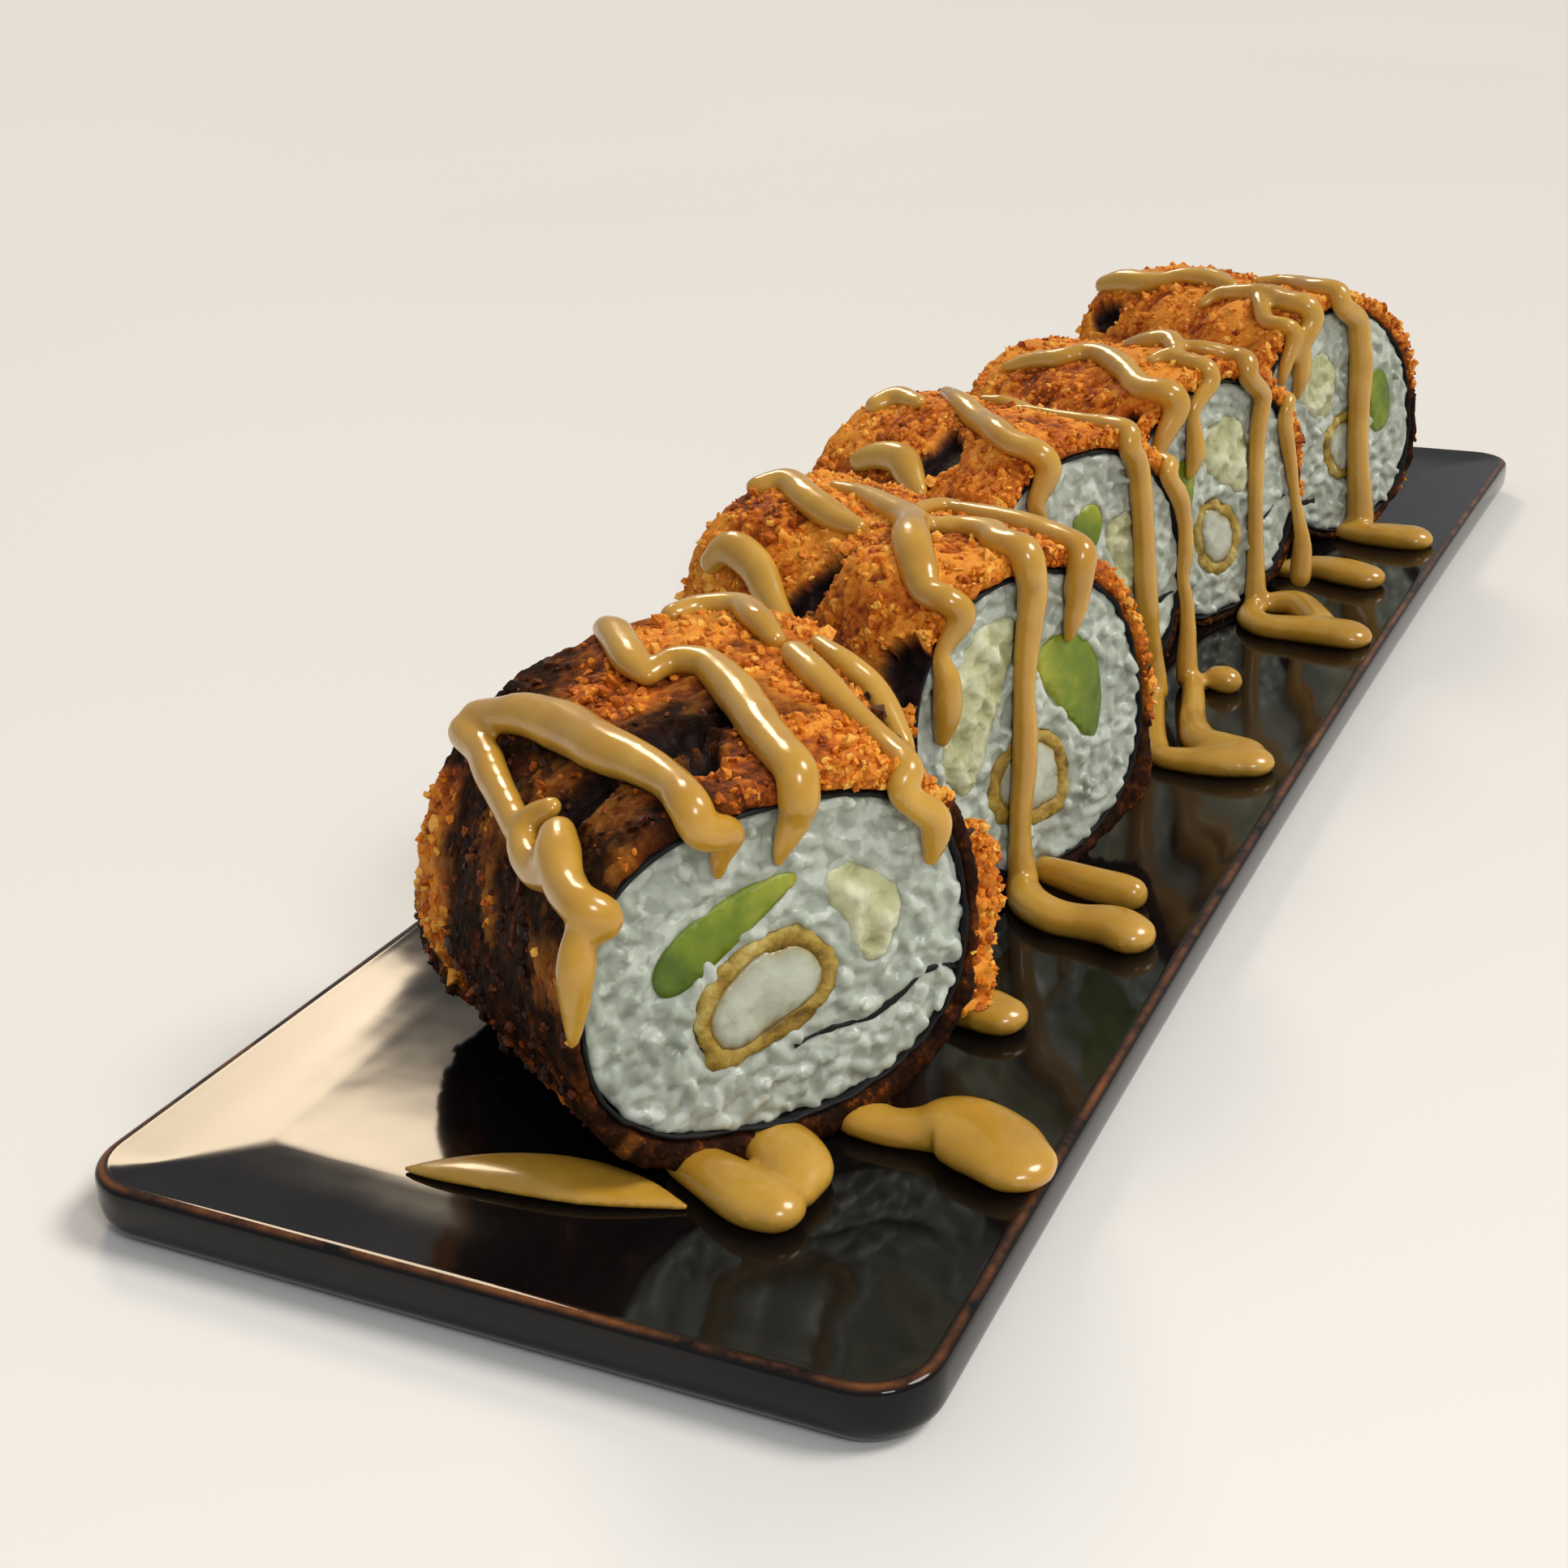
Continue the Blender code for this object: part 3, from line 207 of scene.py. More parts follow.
# Sauce on the plate, by the roll that it flows from: the node it stands for, how high it stands, and its
# fingers as (x, y, width)
POOLS = {
    "roll_1": (
        ("sauce_leaf", 2.2, (((-18.1, -171.4, 0.9), (-13.9, -170.2, 4.4), (-8.0, -168.4, 7.4),
                              (-1.2, -167.0, 9.0), (4.8, -166.3, 8.6), (10.7, -165.8, 5.8),
                              (16.6, -165.8, 1.1)),)),
        ("sauce_pool_1", 4.8, (
            ((13.5, -158.9, 6.0), (18.5, -160.9, 7.8), (24.0, -163.5, 8.6), (27.0, -164.0, 8.0)),
            ((18.6, -150.4, 7.2), (22.7, -152.7, 9.2), (26.3, -156.0, 9.0), (27.2, -159.6, 7.2)),
        )),
        ("sauce_pool_2", 5.0, (
            ((28.5, -141.9, 7.2), (32.8, -142.6, 6.6), (36.7, -141.6, 8.0), (40.7, -140.8, 12.2),
             (45.6, -143.2, 12.8), (49.2, -145.8, 11.0)),
        )),
        ("sauce_pool_3", 4.4, (((30.3, -112.4, 6.6), (33.0, -112.2, 8.4), (35.6, -112.6, 7.8)),)),
    ),
    "roll_2": (
        ("sauce_pool_4", 4.6, (
            ((24.6, -73.4, 4.8), (28.0, -79.4, 6.4), (32.6, -82.6, 6.8), (37.0, -83.0, 6.8),
             (41.6, -83.4, 8.2), (44.4, -84.8, 8.2)),
            ((26.5, -68.4, 4.0), (29.5, -69.4, 4.6), (34.0, -71.0, 5.4), (39.0, -72.0, 5.5),
             (41.0, -72.4, 5.2)),
        )),
    ),
    "roll_3": (
        ("sauce_pool_5", 4.4, (
            ((21.4, 5.4, 4.2), (24.0, -4.0, 4.4), (27.2, -14.0, 4.8), (30.2, -19.6, 5.0),
             (35.0, -20.2, 6.4), (40.0, -19.6, 8.6), (43.0, -18.6, 9.4), (44.6, -18.6, 8.6)),
            ((25.6, 15.6, 4.2), (28.4, 6.0, 4.3), (31.0, -3.6, 5.0), (34.6, -11.6, 6.6),
             (39.0, -14.4, 7.4), (43.2, -16.0, 7.6)),
        )),
        ("sauce_drop", 4.4, (((29.8, 17.4, 5.4), (31.4, 17.0, 5.8)),)),
    ),
    "roll_4": (
        ("sauce_pool_6", 4.4, (
            ((25.6, 59.0, 4.8), (26.8, 52.6, 6.0), (30.4, 48.8, 7.0), (36.0, 48.4, 8.0), (42.0, 47.8, 9.2),
             (46.6, 46.6, 9.2)),
            ((27.5, 61.4, 4.0), (30.0, 62.6, 5.6), (33.6, 62.0, 6.6), (37.4, 57.0, 6.4), (40.4, 51.6, 6.4)),
        )),
        ("sauce_pool_7", 4.4, (((25.4, 84.0, 4.8), (28.6, 86.4, 6.2), (33.0, 86.6, 7.8), (38.0, 84.8, 8.8),
                                (42.4, 82.8, 8.2)),)),
    ),
    "roll_5": (
        ("sauce_pool_8", 4.4, (((32.0, 114.0, 6.2), (36.6, 112.6, 7.2), (42.0, 111.6, 8.2),
                                (46.6, 110.8, 8.2)),)),
    ),
}

# The flap of crust that hangs at the first roll's right side, as (x, y, depth, half width)
FLAP = (
    (27.2, 8.6, 5.0, 2.2), (29.4, 6.0, 6.5, 3.4), (31.2, 1.6, 7.5, 3.8),
    (31.2, -4.2, 8.0, 3.6), (30.4, -10.4, 8.0, 3.2), (29.6, -16.4, 8.0, 2.4),
)

# How finely each roll is made: crust points round and along it, tries for crumbs and for crumbs on the lip,
# and the voxels that melt together its front rice and its sauce
DETAIL = {
    "roll_1": dict(crust=(300, 120), crumbs=7600, lip=1500, rice=0.34, sauce=0.48),
    "roll_2": dict(crust=(240, 100), crumbs=5400, lip=1200, rice=0.34, sauce=0.48),
    "roll_3": dict(crust=(180, 70), crumbs=2900, lip=700, rice=0.46, sauce=0.56),
    "roll_4": dict(crust=(170, 66), crumbs=2900, lip=700, rice=0.46, sauce=0.56),
    "roll_5": dict(crust=(170, 72), crumbs=3000, lip=700, rice=0.46, sauce=0.56),
}

# The crust: its thickness at the sides and what the top adds, and the sizes of its crags, crumbs and grit
CRUST_SIDES = 1.4
CRUST_TOP = 1.4
CRUST_THIN = 0.8
CRAG = 4.2
CRUMB = 1.5
GRIT = 0.8

# The crust's end, from its outer lip to the seaweed: share of the thickness, and how far it is drawn in
LIP = ((0.8, -0.25), (0.45, -0.35), (0.12, -0.1), (0.0, 2.5))

# Points round the flap of crust and crumbs on it
FLAP_AROUND = 72
FLAP_CRUMBS = 620

# The seaweed at a cut: the wrap's section as (offset, depth), and the inner strip's as (side, depth)
NORI_AROUND = 300
WRAP_SECTION = ((0.05, 6.0), (0.05, -0.05), (0.3, -0.3), (0.6, -0.05), (0.6, 6.0))
STRIP_SECTION = ((-1, 3.0), (-1, 0.3), (-0.5, 0.1), (0.5, 0.1), (1, 0.3), (1, 3.0))
STRIP_HALF = 0.36

# Each filling: how far it stands out, the height of its lumps, how ragged its outline is, how wide its
# rounded edge is, and how far it lies inside the outline that it shares
FILLINGS = {
    "avocado": dict(lift=0.3, lumps=0.3, ragged=0.25, edge=0.7, inside=0.0),
    "cheese": dict(lift=0.55, lumps=1.7, ragged=1.4, edge=0.7, inside=0.0),
    "shrimp": dict(lift=0.45, lumps=0.6, ragged=0.9, edge=0.7, inside=2.15),
    "batter": dict(lift=0.3, lumps=1.1, ragged=1.6, edge=0.3, inside=0.0),
}
BATTER_WALL = 2.1
BATTER_WALL_RAGGED = 0.9
FILLING_AROUND = 110
FILLING_PITCH = 0.62
IN_RICE = ("avocado", "cheese", "batter")

# Rice: layers of grains at the front and the back as (spacing, room at edges, depth, spread of depth)
GRAIN_LAYERS = (((1.7, 0.4, 0.72, 0.18), (2.5, 0.7, 0.3, 0.2)), ((2.1, 0.6, 0.7, 0.25),))
GRAIN_TRIES = 9000
GRAIN_AROUND = 10
GRAIN_ROWS = 8
HALF_LENGTH = (1.5, 2.15)
HALF_WIDTH = (0.82, 1.02)
HALF_THICKNESS = (0.75, 0.95)
NEAR_EDGE = 1.8
BACK_VOXEL = 0.8
BED_TOP = 0.42
BED_BOTTOM = 2.4
BED_KEPT = 1.75
CORE_DEPTH = 1.4

# Sauce: points round a bead, its round ends as shares of the half width, and how much it is smoothed
BEAD_AROUND = 16
BEAD_ENDS = (0.98, 0.8, 0.45)
BEAD_STEPS = 7
SAUCE_EASE = 8

# The camera, fitted to the photograph, in metres and radians
CAMERA_AT = (0.1241, -0.3571, 0.1548)
CAMERA_YAW = 0.4521
CAMERA_PITCH = 0.4083
CAMERA_ROLL = -0.0362
CAMERA_LENS = 51.70
CAMERA_SENSOR = 36.0

# Suns as name, azimuth, height, spread, strength and colour, then a softbox placed in metres
SUNS = (
    ("key", 24.0, 52.0, 22.0, 1.9, (1.0, 0.96, 0.9)),
    ("rim", 128.0, 38.0, 14.0, 0.85, (1.0, 0.8, 0.56)),
)
SOFTBOX_AT = (0.42, -0.50, 0.46)
SOFTBOX_AIM = (0.02, -0.08, 0.03)
SOFTBOX_SIZE = 0.16
SOFTBOX_POWER = 1.3
STUDIO_COLOUR = (0.95, 0.97, 1.0, 1.0)
STUDIO_STRENGTH = 0.36

# How far the floor reaches each way, in metres
FLOOR_REACH = 40.0


# Arrays of noise

def hashed(cell, seed):
    """A number from 0 to 1 for each whole-number cell."""
    mixed = ((cell[..., 0] * 73856093) ^ (cell[..., 1] * 19349663)
             ^ (cell[..., 2] * 83492791) ^ (seed * 668265263))
    mixed = (mixed & 0x7FFFFFFF) * 1103515245 + 12345
    mixed = (mixed >> 7) & 0x7FFFFFFF
    mixed = (mixed * 1274126177 + 97) & 0x7FFFFFFFFFFF
    return ((mixed >> 9) & 0xFFFFF) / float(0xFFFFF)


def value_noise(points, seed=0):
    """Smooth noise from 0 to 1 with one value at each whole-number corner."""
    base = np.floor(points).astype(np.int64)
    part = points - base
    part = part * part * (3 - 2 * part)
    total = 0.0
    for corner in np.ndindex(2, 2, 2):
        step = np.array(corner)
        weight = np.prod(np.where(step, part, 1 - part), axis=-1)
        total = total + weight * hashed(base + step, seed)
    return total


def layered(points, scale, layers=4, seed=0):
    """Noise about 0, from coarse to fine."""
    total, size = 0.0, 1.0
    for layer in range(layers):
        total = total + size * (value_noise(points / scale, seed + layer) - 0.5)
        scale, size = scale / 2.03, size * 0.55
    return total


def cells(points, scale, seed=0):
    """How far the nearest of many scattered spots is, in steps of the scale, and that spot's own number."""
    points = points / scale
    base = np.floor(points).astype(np.int64)
    best = np.full(len(points), 9.0)
    own = np.zeros(len(points))
    for step in np.ndindex(3, 3, 3):
        cell = base + np.array(step) - 1
        spot = cell + np.stack([hashed(cell, seed + k) for k in (1, 2, 3)], -1)
        far = np.linalg.norm(points - spot, axis=-1)
        nearer = far < best
        best = np.where(nearer, far, best)
        own = np.where(nearer, hashed(cell, seed + 9), own)
    return best, own


def smoothstep(low, high, value):
    share = np.clip((value - low) / (high - low), 0.0, 1.0)
    return share * share * (3 - 2 * share)


# Making pieces

def make_piece(name, points, faces, material, slot, nodes=(), attributes=None, smooth=True):
    """A piece from points in millimetres, dressed, riding on the body and standing for CAD nodes."""
    mesh = bpy.data.meshes.new(name)
    mesh.from_pydata((points * MM).tolist(), [], faces.tolist() if isinstance(faces, np.ndarray) else faces)
    for key, values in (attributes or {}).items():
        set_attribute(mesh, key, values)
    mesh.update()
    piece = bpy.data.objects.new(name, mesh)
    bpy.context.scene.collection.objects.link(piece)
    if smooth:
        mesh.shade_smooth()
    mesh.materials.append(material)
    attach(piece, "root")
    if nodes:
        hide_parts(*nodes)
    return piece


def set_attribute(mesh, key, values):
    """A number at each point of the mesh, for a material to read."""
    mesh.attributes.new(key, "FLOAT", "POINT").data.foreach_set("value", np.asarray(values, np.float32))


def mesh_points(mesh):
    """The mesh's points in millimetres."""
    points = np.empty(len(mesh.vertices) * 3)
    mesh.vertices.foreach_get("co", points)
    return points.reshape(-1, 3) / MM


def full_turn(count):
    return np.linspace(0, 2 * math.pi, count, endpoint=False)


def grid_faces(rows, columns, start=0, closed=True):
    """Quads between rows of points, each row a closed ring or an open line."""
    i = np.arange(rows - 1)[:, None]
    j = np.arange(columns if closed else columns - 1)[None, :]
    k = (j + 1) % columns
    a = start + i * columns
    return np.stack(np.broadcast_arrays(a + j, a + k, a + columns + k, a + columns + j), -1).reshape(-1, 4)


def ring_faces(first, second, count):
    """Quads between two closed rings of points, given the number of each ring's first point."""
    ring = np.arange(count)
    turned = (ring + 1) % count
    return np.stack([first + ring, first + turned, second + turned, second + ring], -1)


def end_faces(count, total):
    """The two faces that close a tube of rings at its first ring and its last."""
    return [list(range(count))[::-1], list(range(total - count, total))]


def joined(parts):
    """The points and faces of several bodies as one."""
    points, faces, shift = [], [], 0
    for part_points, part_faces in parts:
        points.append(part_points)
        faces += [[int(i) + shift for i in face] for face in part_faces]
        shift += len(part_points)
    return np.vstack(points), faces


def curve_through(points, steps):
    """A smooth curve through rows of numbers."""
    points = np.asarray(points, float)
    ends = np.vstack([2 * points[0] - points[1], points, 2 * points[-1] - points[-2]])
    curve = []
    for i in range(len(points) - 1):
        before, here, there, after = ends[i:i + 4]
        for t in np.arange(steps) / steps:
            curve.append((2 * here + (there - before) * t + (2 * before - 5 * here + 4 * there - after) * t ** 2
                          + (3 * here - before - 3 * there + after) * t ** 3) / 2)
    curve.append(points[-1])
    return np.array(curve)


def many(base_points, base_faces, places, turns, sizes):
    """One mesh of many copies: places (n, 3), turns (n, 3, 3) and sizes (n, 3)."""
    count = len(base_points)
    points = np.einsum("nij,nvj->nvi", turns, base_points[None] * sizes[:, None, :]) + places[:, None, :]
    faces = base_faces[None] + (np.arange(len(places)) * count)[:, None, None]
    return points.reshape(-1, 3), faces.reshape(-1, base_faces.shape[1])


def random_turns(rng, count):
    q = rng.normal(size=(count, 4))
    q /= np.linalg.norm(q, axis=1, keepdims=True)
    w, x, y, z = q.T
    return np.stack([
        np.stack([1 - 2 * (y * y + z * z), 2 * (x * y - z * w), 2 * (x * z + y * w)], -1),
        np.stack([2 * (x * y + z * w), 1 - 2 * (x * x + z * z), 2 * (y * z - x * w)], -1),
        np.stack([2 * (x * z - y * w), 2 * (y * z + x * w), 1 - 2 * (x * x + y * y)], -1),
    ], 1)


def melt(piece, voxel, rounds):
    """Melts the piece's overlapping bodies into one smooth body."""
    remesh = piece.modifiers.new("melt", "REMESH")
    remesh.mode = "VOXEL"
    remesh.voxel_size = voxel * MM
    remesh.use_smooth_shade = True
    ease = piece.modifiers.new("ease", "SMOOTH")
    ease.factor = 0.5
    ease.iterations = rounds
    bpy.context.view_layer.update()
    graph = bpy.context.evaluated_depsgraph_get()
    mesh = bpy.data.meshes.new_from_object(piece.evaluated_get(graph))
    piece.modifiers.clear()
    old = piece.data
    material_used = old.materials[0]
    piece.data = mesh
    bpy.data.meshes.remove(old)
    mesh.materials.clear()
    mesh.materials.append(material_used)
    mesh.shade_smooth()


# The form of a roll

def axes(roll):
    """The directions out of the cut face and to the right along it."""
    yaw = math.radians(roll["yaw"])
    return np.array([math.cos(yaw), -math.sin(yaw), 0.0]), np.array([math.sin(yaw), math.cos(yaw), 0.0])


def oval_xy(roll, angle, offset):
    """The roll's section on its cut face, so far outside the rice."""
    exponent = 2 / roll["squareness"]
    c, s = np.cos(angle), np.sin(angle)
    x = (roll["face"][0] + offset) * np.sign(c) * np.abs(c) ** exponent
    y = (roll["face"][1] + offset) * np.sign(s) * np.abs(s) ** exponent
    return x + roll["lean"][0] * y, y


def place(roll, x, y, depth, low=None):
    """The points in space for places on the roll's section at a depth behind the cut face."""
    x, y, depth = np.broadcast_arrays(*(np.asarray(v, float) for v in (x, y, depth)))
    share = depth / roll["length"]
    wide = 1 + (roll["back"][0] / roll["face"][0] - 1) * share
    tall = 1 + (roll["back"][1] / roll["face"][1] - 1) * share
    across = x * wide + y * (roll["lean"][1] - roll["lean"][0]) * share + roll["back_shift"][0] * share
    up = roll["centre"] + roll["back_shift"][1] * share + y * tall
    if low is not None:
        up = np.maximum(up, LOW[low])
    out, side = axes(roll)
    back = depth + FACE_LEAN * y * (1 - share)
    ground = np.array([*roll["at"], FLOOR])
    return ground + across[..., None] * side - back[..., None] * out + up[..., None] * UP


def bump(roll, angle, depth, where, far, spread):
    """A round hump from 0 to 1 on the crust, about an angle in degrees and a depth."""
    turn = np.radians((np.degrees(angle) - where + 180) % 360 - 180) * roll["face"][0]
    return np.exp(-(turn ** 2 + (depth - far) ** 2) / spread ** 2)


def crust_thickness(roll, angle, depth):
    degrees = np.degrees(angle) % 360
    thick = CRUST_SIDES + CRUST_TOP * np.maximum(np.sin(angle), 0.0)
    thick = thick + roll["bottom_crust"] * np.exp(-(((degrees - 270) / 52) ** 2))
    for where, far, height, spread in roll["lumps"]:
        thick = thick + height * bump(roll, angle, depth, where, far, spread)
    return np.maximum(thick, CRUST_THIN)


def golden_share(roll, angle, depth, spots):
    """How crumbed and golden the crust is, from 0, smooth and brown, to 1."""
    share = roll["golden_top"] * smoothstep(-0.05, 0.4, np.sin(angle))
    for where, far, reach in roll["golden"]:
        share = np.maximum(share, bump(roll, angle, depth, where, far, reach))
    near_face = smoothstep(4.0, 0.0, depth) * smoothstep(-0.4, 0.3, np.sin(angle)) * roll["golden_edge"]
    return np.clip(1.25 * share + near_face - 0.12 + 0.9 * layered(spots, 7.0, 4, 5), 0.0, 1.0)


def bare_share(roll, angle, depth, spots):
    """Where the crust has come off the seaweed."""
    share = np.zeros_like(depth)
    for where, far, reach in roll["bare"]:
        share = np.maximum(share, bump(roll, angle, depth, where, far, reach))
    return smoothstep(0.45, 0.51, share + 0.6 * layered(spots, 3.4, 4, 31))


# Building materials

def material(name):
    made = bpy.data.materials.new(name)
    made.use_nodes = True
    return made, made.node_tree, made.node_tree.nodes["Principled BSDF"]


def settle(shader, **values):
    """Sets the shader's plain values, each under its socket's name with underscores."""
    for key, value in values.items():
        shader.inputs[key.replace("_", " ")].default_value = value


def glow_within(shader, weight, radius, scale):
    """Light that scatters under the surface, as in moist or oily food."""
    settle(shader, Subsurface_Weight=weight, Subsurface_Radius=radius, Subsurface_Scale=scale)


def node(tree, kind, **values):
    made = tree.nodes.new(kind)
    for key, value in values.items():
        setattr(made, key, value)
    return made


def noise_node(tree, scale, detail=4.0, roughness=0.6):
    coordinates = node(tree, "ShaderNodeTexCoord")
    made = node(tree, "ShaderNodeTexNoise")
    settle(made, Scale=scale, Detail=detail, Roughness=roughness)
    tree.links.new(coordinates.outputs["Object"], made.inputs["Vector"])
    return made.outputs["Fac"]


def attribute(tree, name):
    return node(tree, "ShaderNodeAttribute", attribute_name=name).outputs["Fac"]


def ramp(tree, value, stops):
    made = node(tree, "ShaderNodeValToRGB")
    elements = made.color_ramp.elements
    while len(elements) < len(stops):
        elements.new(0.5)
    for element, (position, colour) in zip(elements, stops):
        element.position = position
        element.color = (*linear(colour), 1.0)
    tree.links.new(value, made.inputs["Fac"])
    return made.outputs["Color"]


def linear(colour):
    """A colour given in 0 to 255 as displayed, as the renderer's linear light."""
    return [(c / 255 / 12.92) if c <= 10 else ((c / 255 + 0.055) / 1.055) ** 2.4 for c in colour]


def plug(tree, source, socket):
    """Links a socket, or sets a number or a displayed colour."""
    if isinstance(source, bpy.types.NodeSocket):
        tree.links.new(source, socket)
    elif isinstance(source, (int, float)):
        socket.default_value = source
    else:
        socket.default_value = (*linear(source), 1.0)


def mix(tree, share, first, second):
    """A blend of two colours."""
    made = node(tree, "ShaderNodeMix", data_type="RGBA", blend_type="MIX")
    plug(tree, share, made.inputs["Factor"])
    plug(tree, first, made.inputs["A"])
    plug(tree, second, made.inputs["B"])
    return made.outputs["Result"]


def mix_value(tree, share, first, second):
    """A blend of two numbers."""
    made = node(tree, "ShaderNodeMix", data_type="FLOAT")
    for socket, source in zip((0, 2, 3), (share, first, second)):
        plug(tree, source, made.inputs[socket])
    return made.outputs[0]


def maths(tree, operation, first, second, clamp=False):
    made = node(tree, "ShaderNodeMath", operation=operation, use_clamp=clamp)
    plug(tree, first, made.inputs[0])
    plug(tree, second, made.inputs[1])
    return made.outputs["Value"]


def span(tree, value, low, high, to_low=0.0, to_high=1.0):
    made = node(tree, "ShaderNodeMapRange")
    settle(made, From_Min=low, From_Max=high, To_Min=to_low, To_Max=to_high)
    tree.links.new(value, made.inputs["Value"])
    return made.outputs["Result"]


def varied(tree, value, noise, reach):
    """The value with some noise added, up to the reach each way."""
    return maths(tree, "ADD", value, span(tree, noise, 0.3, 0.7, -reach, reach))


def bumped(tree, shader, height, strength, distance):
    made = node(tree, "ShaderNodeBump")
    settle(made, Strength=strength, Distance=distance)
    tree.links.new(height, made.inputs["Height"])
    tree.links.new(made.outputs["Normal"], shader.inputs["Normal"])


# Materials, with colours as displayed

def plate_material():
    made, tree, shader = material("plate_glaze")
    cloud = noise_node(tree, 38.0, 5.0, 0.55)
    body = ramp(tree, cloud, ((0.3, (11, 9, 10)), (0.55, (16, 13, 13)), (0.8, (25, 20, 17))))
    wear_and_glint = span(tree, noise_node(tree, 160.0, 4.0, 0.6), 0.35, 0.65)
    # The brown-gold rim line: partly glaze worn thin at the arris, partly a painted reflection along it, broken
    # up by noise
    rim = maths(tree, "MULTIPLY", attribute(tree, "rim"), wear_and_glint, clamp=True)
    plug(tree, mix(tree, rim, body, (126, 76, 40)), shader.inputs["Base Color"])
    plug(tree, span(tree, cloud, 0.3, 0.75, 0.06, 0.12), shader.inputs["Roughness"])
    settle(shader, Specular_IOR_Level=0.26)
    bumped(tree, shader, noise_node(tree, 60.0, 2.0, 0.5), 0.05, 0.0008)
    return made


def crust_material():
    """Golden crumb, smooth brown crust and bare seaweed, as the attributes say."""
    made, tree, shader = material("crust_fried")
    gold, high, bare = (attribute(tree, key) for key in ("gold", "high", "bare"))
    grain = noise_node(tree, 1100.0, 2.0, 0.6)
    blotch = noise_node(tree, 300.0, 3.0, 0.6)
    # Painted shade and highlight: the crumb colour runs from dark in the crust's hollows to light on its crumb
    # tops, with some mottling
    crumb = ramp(tree, varied(tree, high, grain, 0.16),
                 ((0.0, (66, 26, 4)), (0.3, (148, 66, 8)), (0.55, (198, 102, 16)), (0.85, (230, 146, 44))))
    brown = ramp(tree, varied(tree, span(tree, blotch, 0.3, 0.7), grain, 0.25),
                 ((0.0, (18, 8, 3)), (0.5, (40, 19, 6)), (0.85, (68, 33, 9)), (1.0, (112, 58, 16))))
    sheet = ramp(tree, blotch, ((0.35, (16, 12, 13)), (0.6, (40, 29, 30)), (0.75, (74, 54, 54))))
    skin = mix(tree, maths(tree, "MULTIPLY", bare, 0.96), mix(tree, gold, brown, crumb), sheet)
    plug(tree, skin, shader.inputs["Base Color"])
    plug(tree, mix_value(tree, bare, mix_value(tree, gold, 0.72, 0.66), 0.5), shader.inputs["Roughness"])
    plug(tree, mix_value(tree, gold, 0.07, 0.22), shader.inputs["Specular IOR Level"])
    glow_within(shader, 0.12, (1.0, 0.45, 0.15), 0.0012)
    bumped(tree, shader, maths(tree, "ADD", grain, blotch), 0.6, 0.0006)
    return made


def crumb_material():
    made, tree, shader = material("panko_crumb")
    grain = noise_node(tree, 1100.0, 2.0, 0.6)
    # Partly painted: the tone's dark end is painted shade and its light end painted highlight, besides each
    # crumb's own random tone
    colour = ramp(tree, varied(tree, attribute(tree, "tone"), grain, 0.14),
                  ((0.0, (34, 15, 4)), (0.25, (86, 36, 4)), (0.5, (176, 84, 10)), (0.8, (224, 134, 30)),
                   (1.0, (242, 180, 76))))
    plug(tree, colour, shader.inputs["Base Color"])
    settle(shader, Roughness=0.55, Specular_IOR_Level=0.25)
    glow_within(shader, 0.2, (1.0, 0.5, 0.2), 0.001)
    bumped(tree, shader, grain, 0.6, 0.0005)
    return made


def nori_material():
    made, tree, shader = material("nori_sheet")
    blotch = noise_node(tree, 600.0, 2.0, 0.6)
    colour = ramp(tree, blotch, ((0.3, (9, 10, 10)), (0.55, (17, 18, 17)), (0.75, (30, 27, 31))))
    plug(tree, colour, shader.inputs["Base Color"])
    settle(shader, Roughness=0.6, Specular_IOR_Level=0.25)
    bumped(tree, shader, blotch, 0.6, 0.0004)
    return made


def rice_material(name, painted_shade):
    made, tree, shader = material(name)
    # Painted shade: every colour is made darker by the given amount
    stops = [(position, tuple(c - painted_shade for c in colour))
             for position, colour in ((0.0, (150, 157, 143)), (0.5, (172, 179, 165)), (1.0, (204, 210, 199)))]
    cloud = noise_node(tree, 420.0, 3.0, 0.5)
    plug(tree, ramp(tree, varied(tree, attribute(tree, "tone"), cloud, 0.15), stops),
         shader.inputs["Base Color"])
    settle(shader, Roughness=0.3, Specular_IOR_Level=0.4)
    glow_within(shader, 0.6, (1.0, 1.0, 0.9), 0.0016)
    bumped(tree, shader, noise_node(tree, 900.0, 2.0, 0.5), 0.2, 0.0003)
    return made


def filling_material(name, stops, scale, roughness, subsurface, bump_scale, bump_strength):
    """A filling whose colour runs along its own tone, broken by noise."""
    made, tree, shader = material(name)
    value = varied(tree, attribute(tree, "tone"), noise_node(tree, scale, 4.0, 0.6), 0.16)
    plug(tree, ramp(tree, value, stops), shader.inputs["Base Color"])
    settle(shader, Roughness=roughness)
    glow_within(shader, subsurface, (1.0, 1.0, 0.7), 0.0015)
    bumped(tree, shader, noise_node(tree, bump_scale, 4.0, 0.65), bump_strength, 0.0004)
    return made


def sauce_material():
    made, tree, shader = material("sauce_glossy")
    cloud = noise_node(tree, 120.0, 3.0, 0.5)
    speck = noise_node(tree, 2200.0, 2.0, 0.5)
    body = ramp(tree, cloud, ((0.3, (184, 136, 44)), (0.5, (195, 148, 52)), (0.75, (206, 162, 66))))
    spotted = mix(tree, span(tree, speck, 0.7, 0.78, 0.0, 0.5), body, (132, 76, 22))
    plug(tree, spotted, shader.inputs["Base Color"])
    plug(tree, span(tree, cloud, 0.3, 0.7, 0.2, 0.3), shader.inputs["Roughness"])
    settle(shader, Coat_Weight=0.35, Coat_Roughness=0.08)
    glow_within(shader, 0.25, (1.0, 0.6, 0.25), 0.0014)
    bumped(tree, shader, noise_node(tree, 260.0, 2.0, 0.4), 0.12, 0.0006)
    return made


